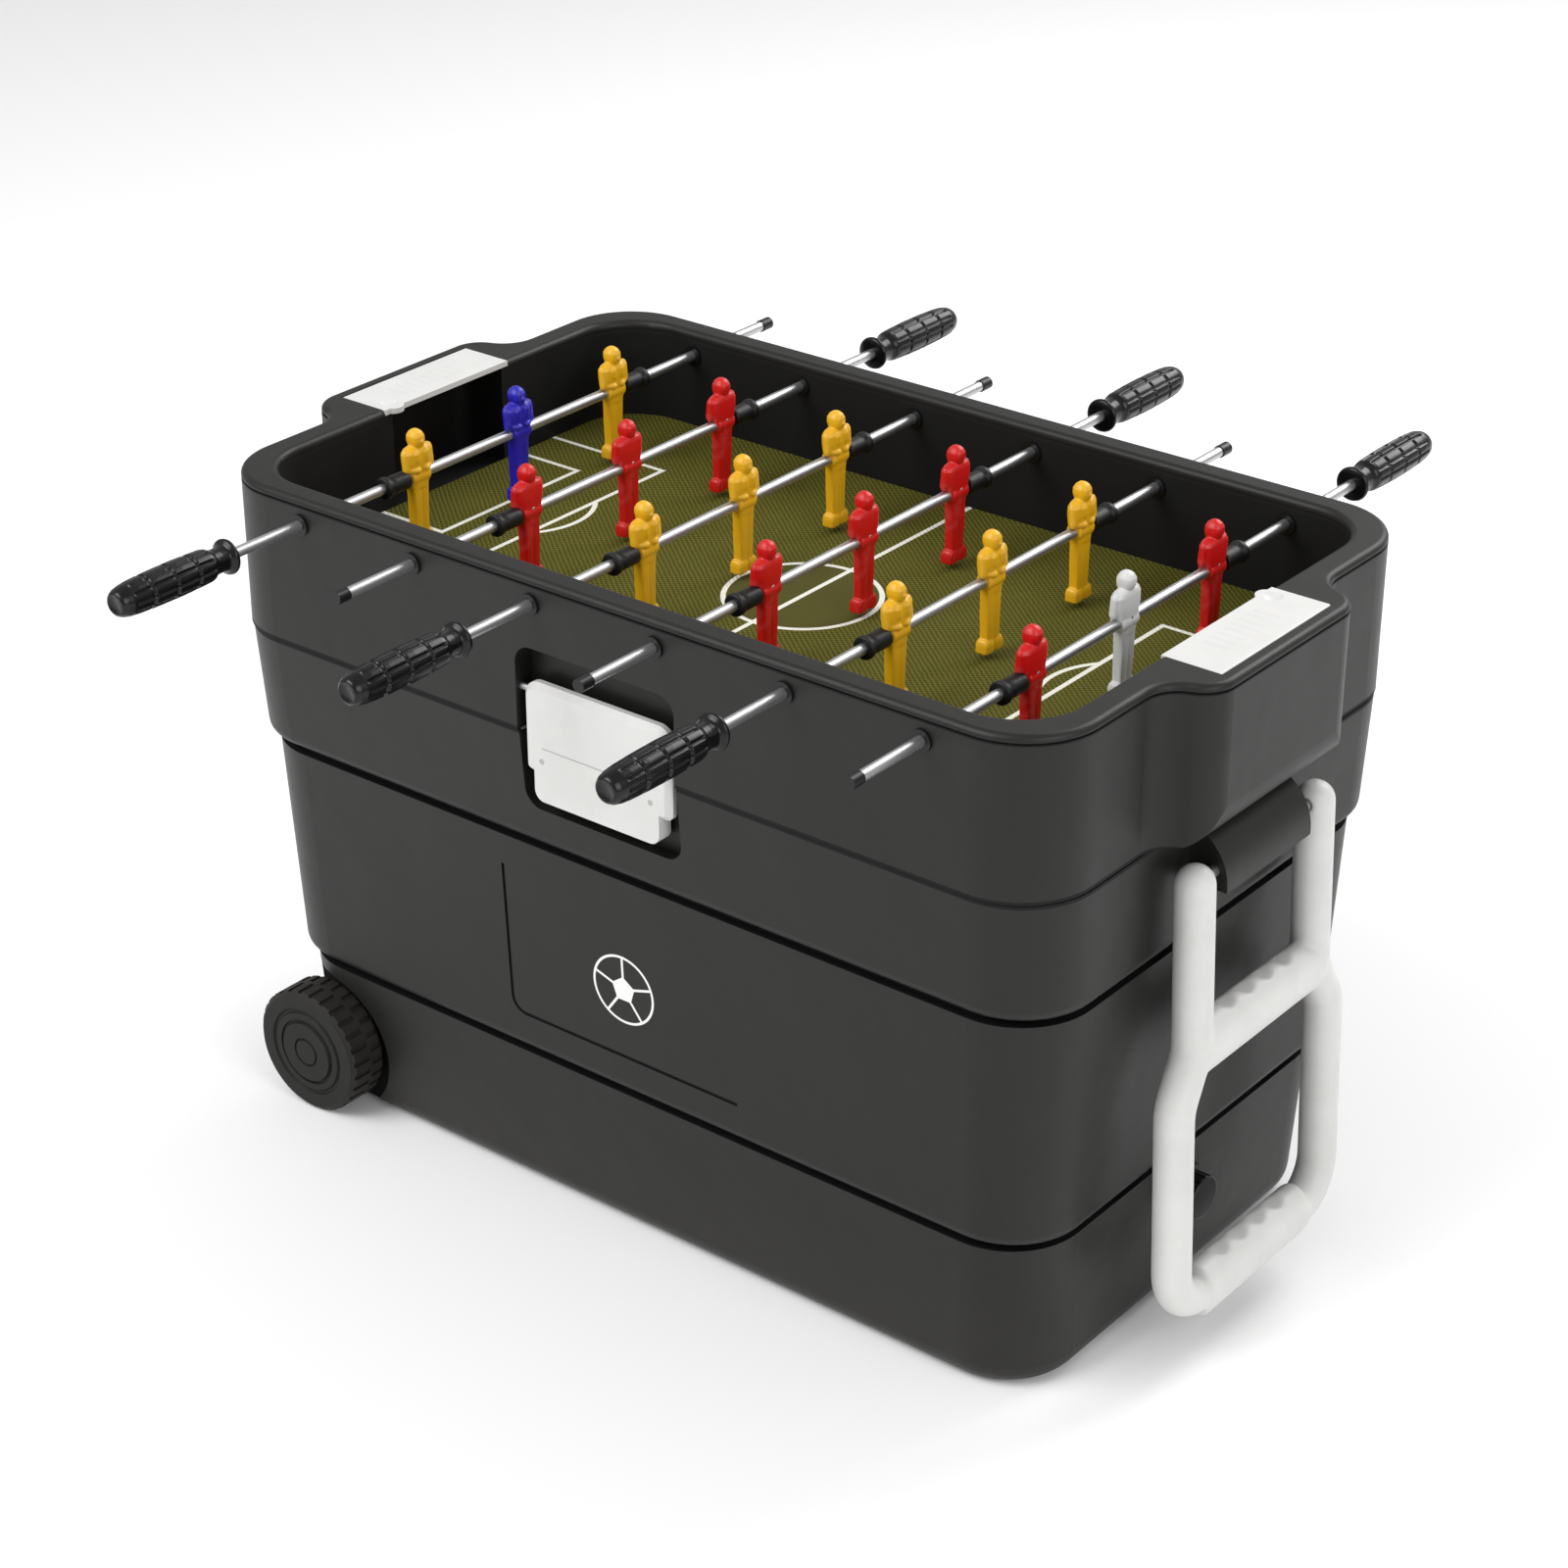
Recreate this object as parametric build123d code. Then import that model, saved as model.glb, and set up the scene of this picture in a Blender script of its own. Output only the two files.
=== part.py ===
"""Foosball table built into the hinged lid of a wheeled cooler chest.

Millimetres, +Z up. The origin is the centre of the footprint, on the floor. +X is the end with
the tow handle, -X the end with the wheels, -Y the front with the latch, +Y the hinged back.
"""

from build123d import *
import os

# ---------------------------------------------------------------- driving dimensions
# chest
CHEST_HALF_LENGTH = 352.0
CHEST_HALF_WIDTH = 218.0
SEAM_HEIGHT = 390.0
CORNER_RADIUS = 55.0
UPPER_BAND_HEIGHT = 91.0
LOWER_GROOVE_HEIGHT = 120.0
BASE_HEIGHT = 0.0
GROOVE_WIDTH = 6.0
BAND_STEP = 5.0
BAND_EDGE_RADIUS = 9.0
BASE_EDGE_RADIUS = 18.0
SHELL_WALL = 3.0
WALL_THICKNESS = 25.0
LINER_WALL = 3.0
LINER_FLOOR_HEIGHT = 60.0
PANEL_HALF_WIDTH = 101.0
PANEL_MARGIN_TOP = 27.0
PANEL_MARGIN_BOTTOM = 33.0
PANEL_CORNER = 12.0
PANEL_LINE = 2.6

# how far each level stands in from the top of the chest, as (length side, width side)
UPPER_BAND_INSET = (1.0, 7.5)
LOWER_BAND_INSET = (11.0, 20.5)
BASE_INSET = (20.0, 34.0)

# lid
LID_OVERHANG = 1.5
LID_RISE = 115.0
RIM_EDGE_RADIUS = 4.5
RIM_WIDTH_ENDS = 21.0
RIM_WIDTH_SIDES = 19.0
RIM_GROOVE_DROP = 6.2
RIM_GROOVE_WIDTH = 1.4
RIM_GROOVE_DEPTH = 1.2
TURF_THICKNESS = 2.0
BULGE_DEPTH = 33.0
BULGE_ROOT_SPREAD = 46.0
BULGE_BOTTOM_RADIUS = 27.0
LID_PLUG_DEPTH = 12.0

# playing gear
ROD_COUNT = 6
ROD_RISE = 96.0
ROD_RADIUS = 3.8
ROD_END_GAP = 68.5
ROD_STUB_LENGTH = 70.5
BUMPER_LENGTH = 24.0
BUMPER_WALL = 3.0
BUMPER_FLANGE_WALL = 4.2
BUMPER_FLANGE_LENGTH = 4.5
BUMPER_CONE_LENGTH = 2.0
BUMPER_GAP = 11.0
BUSHING_WALL = 1.7
BUSHING_FLANGE_WALL = 3.7
BUSHING_FLANGE = 2.0
CAP_WALL = 0.8
CAP_LENGTH = 9.0
CAP_END_WALL = 1.6

# hand grips
GRIP_STANDOFF = 66.5
GRIP_LENGTH = 102.0
GRIP_RADIUS = 12.6
GRIP_NECK_RADIUS = 8.8
GRIP_TIP_RADIUS = 7.8
GRIP_BORE_DEPTH = 62.0
GRIP_FLANGE_LENGTH = 4.0
GRIP_NECK_END = 16.0
GRIP_BODY_START = 21.0
GRIP_BODY_MIDDLE = 50.0
GRIP_ROUNDING = 12.0
GRIP_FLUTES = 12
GRIP_FLUTE_LENGTH = 66.0
GRIP_FLUTE_WIDTH = 1.6
GRIP_FLUTE_DEPTH = 1.8

# players: levels are (height above the rod, depth along X, width along Y, corner radius)
MAN_SIDE_GAP = 94.0
MAN_SWING_GAP = 0.3
MAN_FOOT_GAP = 4.8
MAN_WAIST = (-3.0, 8.4, 16.0, 3.0)
MAN_TORSO = [
    MAN_WAIST,
    (6.0, 9.6, 20.0, 3.4),
    (17.0, 11.6, 27.0, 4.2),
    (21.5, 9.0, 22.0, 3.8),
    (23.5, 6.6, 11.0, 3.0),
]
MAN_BOSS_RADIUS = 6.4
MAN_BOSS_WIDTH = 17.6
MAN_ANKLE = (6.8, 13.6, 2.4)
MAN_FOOT = (10.4, 20.6, 10.0)
MAN_FOOT_EDGE = 2.2
MAN_ARMS = (4.4, 19.0, 6.0)
MAN_ARMS_PLACE = (5.4, 12.5)
MAN_ARMS_EDGE = 1.6
MAN_NECK = (3.6, 5.0)
MAN_HEAD_RADIUS = 7.3
MAN_HEAD_HEIGHT = 27.3

# goals
GOAL_HALF_WIDTH = 58.0
GOAL_DEPTH = 42.0
GOAL_CORNER = 12.0
COVER_SIDE_LAP = 7.0
COVER_THICKNESS = 4.0
COVER_BARREL_LAP = 2.0
COVER_PIN_RADIUS = 1.2
COVER_TAB_RADIUS = 8.0
COVER_TAB_REACH = 4.0
COVER_SCOOP_RADIUS = 10.0
COVER_SCOOP_DEPTH = 3.0

# latch
LATCH_HALF_WIDTH = 63.0
LATCH_TOE_SETBACK = 9.0
LATCH_RISE = 39.0
LATCH_STEP_DROP = 28.0
LATCH_DROP = 47.0
LATCH_THICKNESS = 12.0
LATCH_TOP_CORNER = 12.0
LATCH_STEP_CORNER = 6.0
LATCH_TOE_CORNER = 8.0
LATCH_BEVEL = 4.0
LATCH_PIN_RADIUS = 2.5
LATCH_PIN_DROP = 8.0
LATCH_PIN_DEPTH = 6.0
LATCH_BEAD_RADIUS = 1.2
LATCH_BEAD_HALF = 30.0
LATCH_BEAD_RISE = 9.0
KEEPER_HALF = 32.0
KEEPER_DEPTH = 1.6
KEEPER_RISE = 3.0
KEEPER_HEIGHT = 14.0
RECESS_SIDE_GAP = 5.0
RECESS_TOP_GAP = 25.0
RECESS_BOTTOM_GAP = 11.0
RECESS_DEPTH = 16.0
RECESS_CORNER = 13.75

# lid hinges
HINGE_END_DISTANCE = 152.0
HINGE_PIN_OUT = 6.0
HINGE_PIN_RADIUS = 2.5
HINGE_PIN_PROUD = 1.0
KNUCKLE_RADIUS = 5.5
KNUCKLE_LENGTH = 20.0
KNUCKLE_WEB = 2.0
LEAF_THICKNESS = 2.5
LEAF_HEIGHT = 36.0

# wheels: the face steps are (share of the radius, how far behind the outer face)
WHEEL_RADIUS = 49.0
WHEEL_WIDTH = 35.0
WHEEL_END_DISTANCE = 53.0
WHEEL_SETBACK = 1.0
WHEEL_HUB_RADIUS = 11.0
WHEEL_EDGE = 4.0
WHEEL_FACE_STEPS = [
    (0.93, 1.0),
    (0.72, 1.0),
    (0.70, 2.5),
    (0.66, 2.5),
    (0.64, 1.0),
    (0.54, 1.0),
    (0.53, 2.5),
    (0.50, 2.5),
    (0.48, 0.0),
    (0.24, 0.0),
    (0.23, 1.5),
    (0.21, 1.5),
    (0.20, 0.0),
]
WHEEL_LUGS = 28
TREAD_WIDTH = 4.0
TREAD_DEPTH = 1.5
AXLE_RADIUS = 5.0
ARCH_GAP = 8.0
ARCH_DEPTH_GAP = 6.0

# tow handle
HANDLE_RADIUS = 13.5
HANDLE_PIN_OUT = 18.0
HANDLE_PIN_DROP = 29.0
HANDLE_PIN_RADIUS = 4.0
HANDLE_UPPER_HALF = 73.0
HANDLE_SPREAD = 20.0
HANDLE_BAR_DROP = 121.0
HANDLE_FOOT_HEIGHT = 50.0
HANDLE_SHOULDER_DROP = 35.0
HANDLE_BEND_RADIUS = 30.0
HANDLE_BAR_HALF_HEIGHT = 20.0
HANDLE_BAR_HALF_DEPTH = 14.2
HANDLE_LEAN = 2.5
FINGER_COUNT = 4
FINGER_PITCH = 23.0
FINGER_RADIUS = 13.0
FINGER_DEPTH = 3.0
HOOD_SETBACK = 22.0

# drain
DRAIN_HEIGHT = 77.0
DRAIN_TUBE_RADIUS = 11.0
DRAIN_BORE_RADIUS = 8.0
DRAIN_FLANGE_RADIUS = 20.0
DRAIN_FLANGE = 4.0
DRAIN_SEAT_DEPTH = 1.0
DRAIN_CAP_RADIUS = 16.0
DRAIN_CAP_LENGTH = 12.0
DRAIN_CAP_EDGE = 2.0
DRAIN_CAP_RIBS = 16
DRAIN_RIB_WIDTH = 2.0
DRAIN_RIB_DEPTH = 0.8

# base pads
PAD_RADIUS = 18.0
PAD_THICKNESS = 1.5
PAD_EDGE = 0.5
PAD_END_DISTANCE = 67.0
PAD_SIDE_DISTANCE = 93.0

# named clearances
RUNNING = 0.05
MOVING = 0.3
SEAT = 0.2
SEAM_GAP = 1.2
LINER_RISE = 0.8

# how far a cutting tool passes beyond what it cuts
PAST = 1.0

# ---------------------------------------------------------------- worked out from them
UPPER_GROOVE_HEIGHT = SEAM_HEIGHT - UPPER_BAND_HEIGHT
PANEL_TOP = UPPER_GROOVE_HEIGHT - PANEL_MARGIN_TOP
PANEL_BOTTOM = LOWER_GROOVE_HEIGHT + PANEL_MARGIN_BOTTOM
CHEST_TOP = SEAM_HEIGHT - SEAM_GAP / 2
LID_BOTTOM = SEAM_HEIGHT + SEAM_GAP / 2
RIM_HEIGHT = SEAM_HEIGHT + LID_RISE
LID_HALF_WIDTH = CHEST_HALF_WIDTH + LID_OVERHANG
FIELD_HALF_LENGTH = CHEST_HALF_LENGTH - RIM_WIDTH_ENDS
FIELD_HALF_WIDTH = CHEST_HALF_WIDTH - RIM_WIDTH_SIDES
FIELD_CORNER_RADIUS = CORNER_RADIUS - BULGE_DEPTH / 4

ROD_HEIGHT = SEAM_HEIGHT + ROD_RISE
ROD_PITCH = 2 * (FIELD_HALF_LENGTH - ROD_END_GAP) / (ROD_COUNT - 1)
ROD_X = [(i - (ROD_COUNT - 1) / 2) * ROD_PITCH for i in range(ROD_COUNT)]
ROD_STUB_REACH = LID_HALF_WIDTH + ROD_STUB_LENGTH
GRIP_START = LID_HALF_WIDTH + GRIP_STANDOFF
MEN_PITCH = FIELD_HALF_WIDTH - MAN_SIDE_GAP
MAN_DROP = ROD_PITCH / 2 - MAN_SWING_GAP
FIELD_HEIGHT = ROD_HEIGHT - MAN_DROP - MAN_FOOT_GAP
WELL_FLOOR = FIELD_HEIGHT - TURF_THICKNESS
BUMPER_INNER = MEN_PITCH + BUMPER_GAP
BUMPER_OUTER = BUMPER_INNER + BUMPER_LENGTH
BUSHING_RADIUS = ROD_RADIUS + BUSHING_WALL
BUSHING_FLANGE_RADIUS = ROD_RADIUS + BUSHING_FLANGE_WALL

BULGE_REACH = CHEST_HALF_LENGTH + BULGE_DEPTH
COVER_HALF_WIDTH = GOAL_HALF_WIDTH + COVER_SIDE_LAP
BULGE_FLAT_HALF = COVER_HALF_WIDTH + PAST
BULGE_ROOT_HALF = BULGE_FLAT_HALF + BULGE_ROOT_SPREAD
COVER_DEPTH = GOAL_DEPTH + COVER_BARREL_LAP
COVER_TAB_OFFSET = COVER_HALF_WIDTH - 1.5 * COVER_TAB_RADIUS
COVER_PIN_X = FIELD_HALF_LENGTH + COVER_DEPTH - COVER_THICKNESS / 2
COVER_PIN_Z = RIM_HEIGHT - COVER_THICKNESS / 2

LATCH_TOP = SEAM_HEIGHT + LATCH_RISE
LATCH_STEP_HEIGHT = SEAM_HEIGHT - LATCH_STEP_DROP
LATCH_BOTTOM = SEAM_HEIGHT - LATCH_DROP
LATCH_FACE = LID_HALF_WIDTH
LATCH_PIN_HEIGHT = LATCH_TOP - LATCH_PIN_DROP
LATCH_PIN_Y = -(LATCH_FACE - LATCH_PIN_DEPTH)
RECESS_HALF_WIDTH = LATCH_HALF_WIDTH + RECESS_SIDE_GAP
RECESS_TOP = LATCH_TOP + RECESS_TOP_GAP
RECESS_BOTTOM = LATCH_BOTTOM - RECESS_BOTTOM_GAP
RECESS_FLOOR = LATCH_FACE - RECESS_DEPTH

HINGE_OFFSET = CHEST_HALF_LENGTH - HINGE_END_DISTANCE
HINGE_PIN_Y = CHEST_HALF_WIDTH + HINGE_PIN_OUT

WHEEL_X = -(CHEST_HALF_LENGTH - WHEEL_END_DISTANCE)
WHEEL_FACE = CHEST_HALF_WIDTH - WHEEL_SETBACK
WHEEL_INNER = WHEEL_FACE - WHEEL_WIDTH
ARCH_RADIUS = WHEEL_RADIUS + ARCH_GAP
ARCH_INNER = WHEEL_INNER - ARCH_DEPTH_GAP
AXLE_REACH = WHEEL_FACE - WHEEL_WIDTH / 6

HANDLE_PIN_X = CHEST_HALF_LENGTH + HANDLE_PIN_OUT
HANDLE_PIN_HEIGHT = SEAM_HEIGHT - HANDLE_PIN_DROP
HANDLE_LOWER_HALF = HANDLE_UPPER_HALF + HANDLE_SPREAD
HANDLE_BAR_HEIGHT = HANDLE_PIN_HEIGHT - HANDLE_BAR_DROP
HOOD_HALF_WIDTH = HANDLE_UPPER_HALF - HOOD_SETBACK
HOOD_BACK = CHEST_HALF_LENGTH - SHELL_WALL / 2
HOOD_TOP = CHEST_TOP - SHELL_WALL
HOOD_BOTTOM = HANDLE_PIN_HEIGHT - HANDLE_RADIUS

PAD_X = CHEST_HALF_LENGTH - PAD_END_DISTANCE
PAD_Y = CHEST_HALF_WIDTH - PAD_SIDE_DISTANCE
LINER_HALF_TOP = (CHEST_HALF_LENGTH - WALL_THICKNESS, CHEST_HALF_WIDTH - WALL_THICKNESS)
LINER_HALF_BASE = (LINER_HALF_TOP[0] - BASE_INSET[0], LINER_HALF_TOP[1] - BASE_INSET[1])
LINER_CORNER = CORNER_RADIUS - WALL_THICKNESS
LINER_BOTTOM = LID_BOTTOM + LINER_RISE
PLUG_TOP = LINER_BOTTOM + LINER_WALL
PLUG_BOTTOM = CHEST_TOP - LID_PLUG_DEPTH
PLUG_GAP = 2 * LINER_WALL
PLUG_CORNER = LINER_CORNER - LINER_WALL - PLUG_GAP


# ---------------------------------------------------------------- shared helpers
def tapered_block(levels, radius):
    """A solid through rounded rectangles. Each level is (height, half length, half width)."""
    sections = [
        Plane.XY.offset(z) * RectangleRounded(2 * a, 2 * b, radius) for z, a, b in levels
    ]
    return loft(sections, ruled=True)


def upright_block(z_low, z_high, half_x, half_y, radius):
    """A vertical-sided rounded block."""
    face = Plane.XY.offset(z_low) * RectangleRounded(2 * half_x, 2 * half_y, radius)
    return extrude(face, z_high - z_low)


def box_between(x0, x1, y0, y1, z0, z1):
    """A plain box from its low and high faces."""
    centre = Pos((x0 + x1) / 2, (y0 + y1) / 2, (z0 + z1) / 2)
    return centre * Box(abs(x1 - x0), abs(y1 - y0), abs(z1 - z0))


def rod_along_y(x, z, radius, y0, y1):
    """A cylinder along Y between two stations."""
    turn = Pos(x, (y0 + y1) / 2, z) * Rot(90, 0, 0)
    return turn * Cylinder(radius, abs(y1 - y0))


def rod_along_x(y, z, radius, x0, x1):
    """A cylinder along X between two stations."""
    turn = Pos((x0 + x1) / 2, y, z) * Rot(0, 90, 0)
    return turn * Cylinder(radius, abs(x1 - x0))


def spin_along_y(side, outline):
    """A solid of revolution about Y; outline is (distance along Y towards side, radius) points."""
    profile = make_face(Polyline([(radius, side * y) for y, radius in outline], close=True))
    return revolve(profile, Axis.Y)


def save(node, shape):
    """Writes one node."""
    export_step(shape, f"parts/{node}.step")


def joined(solids):
    """A node made of separate solids."""
    pieces = []
    for solid in solids:
        pieces.extend(solid.solids())
    return Compound(children=pieces)


# ---------------------------------------------------------------- chest
def inset(pair, extra=0.0):
    """Half length and half width of the chest, stood in by a pair and an extra amount."""
    return (
        CHEST_HALF_LENGTH - pair[0] - extra,
        CHEST_HALF_WIDTH - pair[1] - extra,
    )


def band(low, high, edge_radius):
    """One band of the chest between two levels, with its lower edge rounded."""
    form = tapered_block([low, high], CORNER_RADIUS)
    return fillet(form.faces().sort_by(Axis.Z)[0].edges(), edge_radius)


def chest_outside():
    """The banded outer form, closed: three bands with a groove under each of the upper two."""
    half_groove = GROOVE_WIDTH / 2
    form = band(
        (BASE_HEIGHT, *inset(BASE_INSET)),
        (LOWER_GROOVE_HEIGHT - half_groove, *inset(LOWER_BAND_INSET, BAND_STEP)),
        BASE_EDGE_RADIUS,
    )
    form += band(
        (LOWER_GROOVE_HEIGHT + half_groove, *inset(LOWER_BAND_INSET)),
        (UPPER_GROOVE_HEIGHT - half_groove, *inset(UPPER_BAND_INSET, BAND_STEP)),
        BAND_EDGE_RADIUS,
    )
    form += band(
        (UPPER_GROOVE_HEIGHT + half_groove, *inset(UPPER_BAND_INSET)),
        (CHEST_TOP, *inset((0, 0))),
        BAND_EDGE_RADIUS,
    )
    for height, pair in (
        (LOWER_GROOVE_HEIGHT, LOWER_BAND_INSET),
        (UPPER_GROOVE_HEIGHT, UPPER_BAND_INSET),
    ):
        half_x, half_y = inset(pair, BAND_STEP + GROOVE_WIDTH)
        form += upright_block(
            height - GROOVE_WIDTH, height + GROOVE_WIDTH, half_x, half_y, CORNER_RADIUS
        )
    return form


def chest_inside():
    """The space inside the outer skin, which the foam and the liner fill."""
    deep = BAND_STEP + GROOVE_WIDTH + SHELL_WALL
    levels = [
        (BASE_HEIGHT + SHELL_WALL, *inset(BASE_INSET, BASE_EDGE_RADIUS / 2 + SHELL_WALL)),
        (BASE_HEIGHT + BASE_EDGE_RADIUS, *inset(BASE_INSET, SHELL_WALL)),
    ]
    for height, pair in (
        (LOWER_GROOVE_HEIGHT, LOWER_BAND_INSET),
        (UPPER_GROOVE_HEIGHT, UPPER_BAND_INSET),
    ):
        levels += [
            (height - 2 * GROOVE_WIDTH, *inset(pair, BAND_STEP + SHELL_WALL + PAST)),
            (height - GROOVE_WIDTH, *inset(pair, deep)),
            (height + GROOVE_WIDTH, *inset(pair, deep)),
            (height + BAND_EDGE_RADIUS + 2 * GROOVE_WIDTH, *inset(pair, SHELL_WALL)),
        ]
    levels.append((CHEST_TOP + SEAM_GAP, *inset((0, 0), SHELL_WALL)))
    return tapered_block(levels, CORNER_RADIUS - deep / 2)


def wheel_arch(side, grow):
    """The pocket for one wheel, open to the side, the end and the floor."""
    radius = ARCH_RADIUS + grow
    inner = side * (ARCH_INNER - grow)
    outer = side * (CHEST_HALF_WIDTH + WALL_THICKNESS)
    tunnel = rod_along_y(WHEEL_X, WHEEL_RADIUS, radius, inner, outer)
    end = -CHEST_HALF_LENGTH - WALL_THICKNESS
    return tunnel + box_between(end, WHEEL_X, inner, outer, -WHEEL_RADIUS, WHEEL_RADIUS + radius)


def latch_recess(grow):
    """The pocket in the front of lid and chest that the latch hangs in."""
    half = RECESS_HALF_WIDTH + grow
    height = RECESS_TOP - RECESS_BOTTOM + 2 * grow
    middle = (RECESS_TOP + RECESS_BOTTOM) / 2
    outline = Plane((0, -(RECESS_FLOOR - grow), middle), x_dir=(1, 0, 0), z_dir=(0, -1, 0))
    return extrude(outline * RectangleRounded(2 * half, height, RECESS_CORNER), WALL_THICKNESS)


def liner_outside():
    """The outer form of the inner tub, closed."""
    levels = [(LINER_FLOOR_HEIGHT, *LINER_HALF_BASE), (CHEST_TOP, *LINER_HALF_TOP)]
    return tapered_block(levels, LINER_CORNER)


def liner_space():
    """The room inside the inner tub."""
    levels = [
        (LINER_FLOOR_HEIGHT + LINER_WALL, *(half - LINER_WALL for half in LINER_HALF_BASE)),
        (CHEST_TOP + SEAM_GAP, *(half - LINER_WALL for half in LINER_HALF_TOP)),
    ]
    return tapered_block(levels, LINER_CORNER - LINER_WALL)


def liner_flange(grow):
    """The rim of the tub that covers the foam, seated in a rebate of the skin."""
    half_x, half_y = inset((0, 0), SHELL_WALL - grow)
    return upright_block(
        CHEST_TOP - LINER_WALL, CHEST_TOP, half_x, half_y, CORNER_RADIUS - SHELL_WALL
    )


def drain_seat():
    """Where the flat seat of the drain flange lies along X."""
    share = (DRAIN_HEIGHT - BASE_HEIGHT) / (LOWER_GROOVE_HEIGHT - BASE_HEIGHT)
    low = inset(BASE_INSET)[0]
    high = inset(LOWER_BAND_INSET, BAND_STEP)[0]
    return low + share * (high - low) - DRAIN_SEAT_DEPTH


def drain_hole():
    """The bore for the drain tube through skin, foam and liner."""
    reach = drain_seat() + WALL_THICKNESS
    return rod_along_x(0, DRAIN_HEIGHT, DRAIN_TUBE_RADIUS + SEAT, 0, reach)


def axle_hole():
    """The bore for the axle right across the chest."""
    return rod_along_y(WHEEL_X, WHEEL_RADIUS, AXLE_RADIUS + RUNNING, -WHEEL_FACE, WHEEL_FACE)


def panel_groove():
    """The engraved corner line on the front of the middle band."""
    half = PANEL_HALF_WIDTH
    bend = (-half, PANEL_BOTTOM + PANEL_CORNER)
    foot = (-half + PANEL_CORNER, PANEL_BOTTOM)
    line = Line((-half, PANEL_TOP), bend)
    line += RadiusArc(bend, foot, -PANEL_CORNER)
    line += Line(foot, (half, PANEL_BOTTOM))
    front = Plane((0, -CHEST_HALF_WIDTH, 0), x_dir=(1, 0, 0), z_dir=(0, -1, 0))
    stroke = extrude(front * trace(line, PANEL_LINE), -2 * WALL_THICKNESS)
    core = tapered_block(
        [
            (LOWER_GROOVE_HEIGHT, *inset(LOWER_BAND_INSET, PANEL_LINE / 2)),
            (UPPER_GROOVE_HEIGHT, *inset(UPPER_BAND_INSET, BAND_STEP + PANEL_LINE / 2)),
        ],
        CORNER_RADIUS,
    )
    return stroke - core


def chest_cuts():
    """Everything that is cut out of the outer skin for the pieces fitted to it."""
    seat = drain_seat()
    cuts = [
        liner_flange(SEAT),
        latch_recess(0),
        bracket_envelope(),
        axle_hole(),
        panel_groove(),
        drain_hole(),
        rod_along_x(0, DRAIN_HEIGHT, DRAIN_FLANGE_RADIUS + SEAT, seat, seat + WALL_THICKNESS),
    ]
    for side in (-1, 1):
        pad = Pos(PAD_X, side * PAD_Y, BASE_HEIGHT)
        cuts.append(wheel_arch(side, 0))
        cuts.append(pad * Cylinder(PAD_RADIUS + SEAT, 2 * PAD_THICKNESS))
        cuts.append(hinge_seat(side * HINGE_OFFSET, CHEST_TOP - LEAF_HEIGHT, CHEST_TOP))
    return cuts


def make_chest():
    """The outer skin, its foam, its liner and its base pads."""
    outside = chest_outside()
    inside = chest_inside()
    pockets = [wheel_arch(side, SHELL_WALL) for side in (-1, 1)] + [latch_recess(SHELL_WALL)]
    skin = outside - inside
    for pocket in pockets:
        skin += pocket & outside
    for cut in chest_cuts():
        skin -= cut
    save("body_shell", skin)

    liner = liner_outside() + liner_flange(0) - liner_space()
    liner -= drain_hole()
    liner -= latch_recess(SHELL_WALL + SEAT)
    save("chest_liner", liner)

    foam = inside - liner_outside() - liner_flange(SEAT) - drain_hole() - axle_hole()
    for pocket in pockets:
        foam -= pocket
    foam &= upright_block(
        BASE_HEIGHT, CHEST_TOP - LINER_WALL, CHEST_HALF_LENGTH, CHEST_HALF_WIDTH, SHELL_WALL
    )
    save("chest_foam", foam.solids().sort_by(SortBy.VOLUME)[-1])

    pads = []
    for side in (-1, 1):
        pad = Cylinder(PAD_RADIUS, PAD_THICKNESS)
        pad = chamfer(pad.edges().sort_by(Axis.Z)[0], PAD_EDGE)
        pads.append(Pos(PAD_X, side * PAD_Y, BASE_HEIGHT + PAD_THICKNESS / 2) * pad)
    save("base_pads", joined(pads))


# ---------------------------------------------------------------- drain
def make_drain():
    """The flanged drain tube through the wall and the screw cap on it."""
    seat = drain_seat()
    inner = LINER_HALF_BASE[0] - 2 * LINER_WALL
    flange_end = seat + DRAIN_FLANGE
    spout_end = flange_end + DRAIN_CAP_LENGTH - LINER_WALL
    fitting = rod_along_x(0, DRAIN_HEIGHT, DRAIN_TUBE_RADIUS, inner, spout_end)
    fitting += rod_along_x(0, DRAIN_HEIGHT, DRAIN_FLANGE_RADIUS, seat, flange_end)
    fitting -= rod_along_x(0, DRAIN_HEIGHT, DRAIN_BORE_RADIUS, inner - PAST, spout_end + PAST)
    save("drain_fitting", fitting)

    start = flange_end + MOVING
    end = start + DRAIN_CAP_LENGTH
    cap = rod_along_x(0, DRAIN_HEIGHT, DRAIN_CAP_RADIUS, start, end)
    cap = fillet(cap.edges().sort_by(Axis.X)[-1], DRAIN_CAP_EDGE)
    socket_end = end - LINER_WALL + MOVING
    cap -= rod_along_x(0, DRAIN_HEIGHT, DRAIN_TUBE_RADIUS + MOVING, start, socket_end)
    notch = Box(DRAIN_CAP_LENGTH, DRAIN_RIB_WIDTH, 2 * DRAIN_RIB_DEPTH)
    place = Pos((start + end) / 2 - DRAIN_CAP_EDGE / 2, 0, DRAIN_CAP_RADIUS)
    for i in range(DRAIN_CAP_RIBS):
        turn = Rot(360 / DRAIN_CAP_RIBS * i, 0, 0)
        cap -= Pos(0, 0, DRAIN_HEIGHT) * turn * place * notch
    save("drain_cap", cap)


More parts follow.
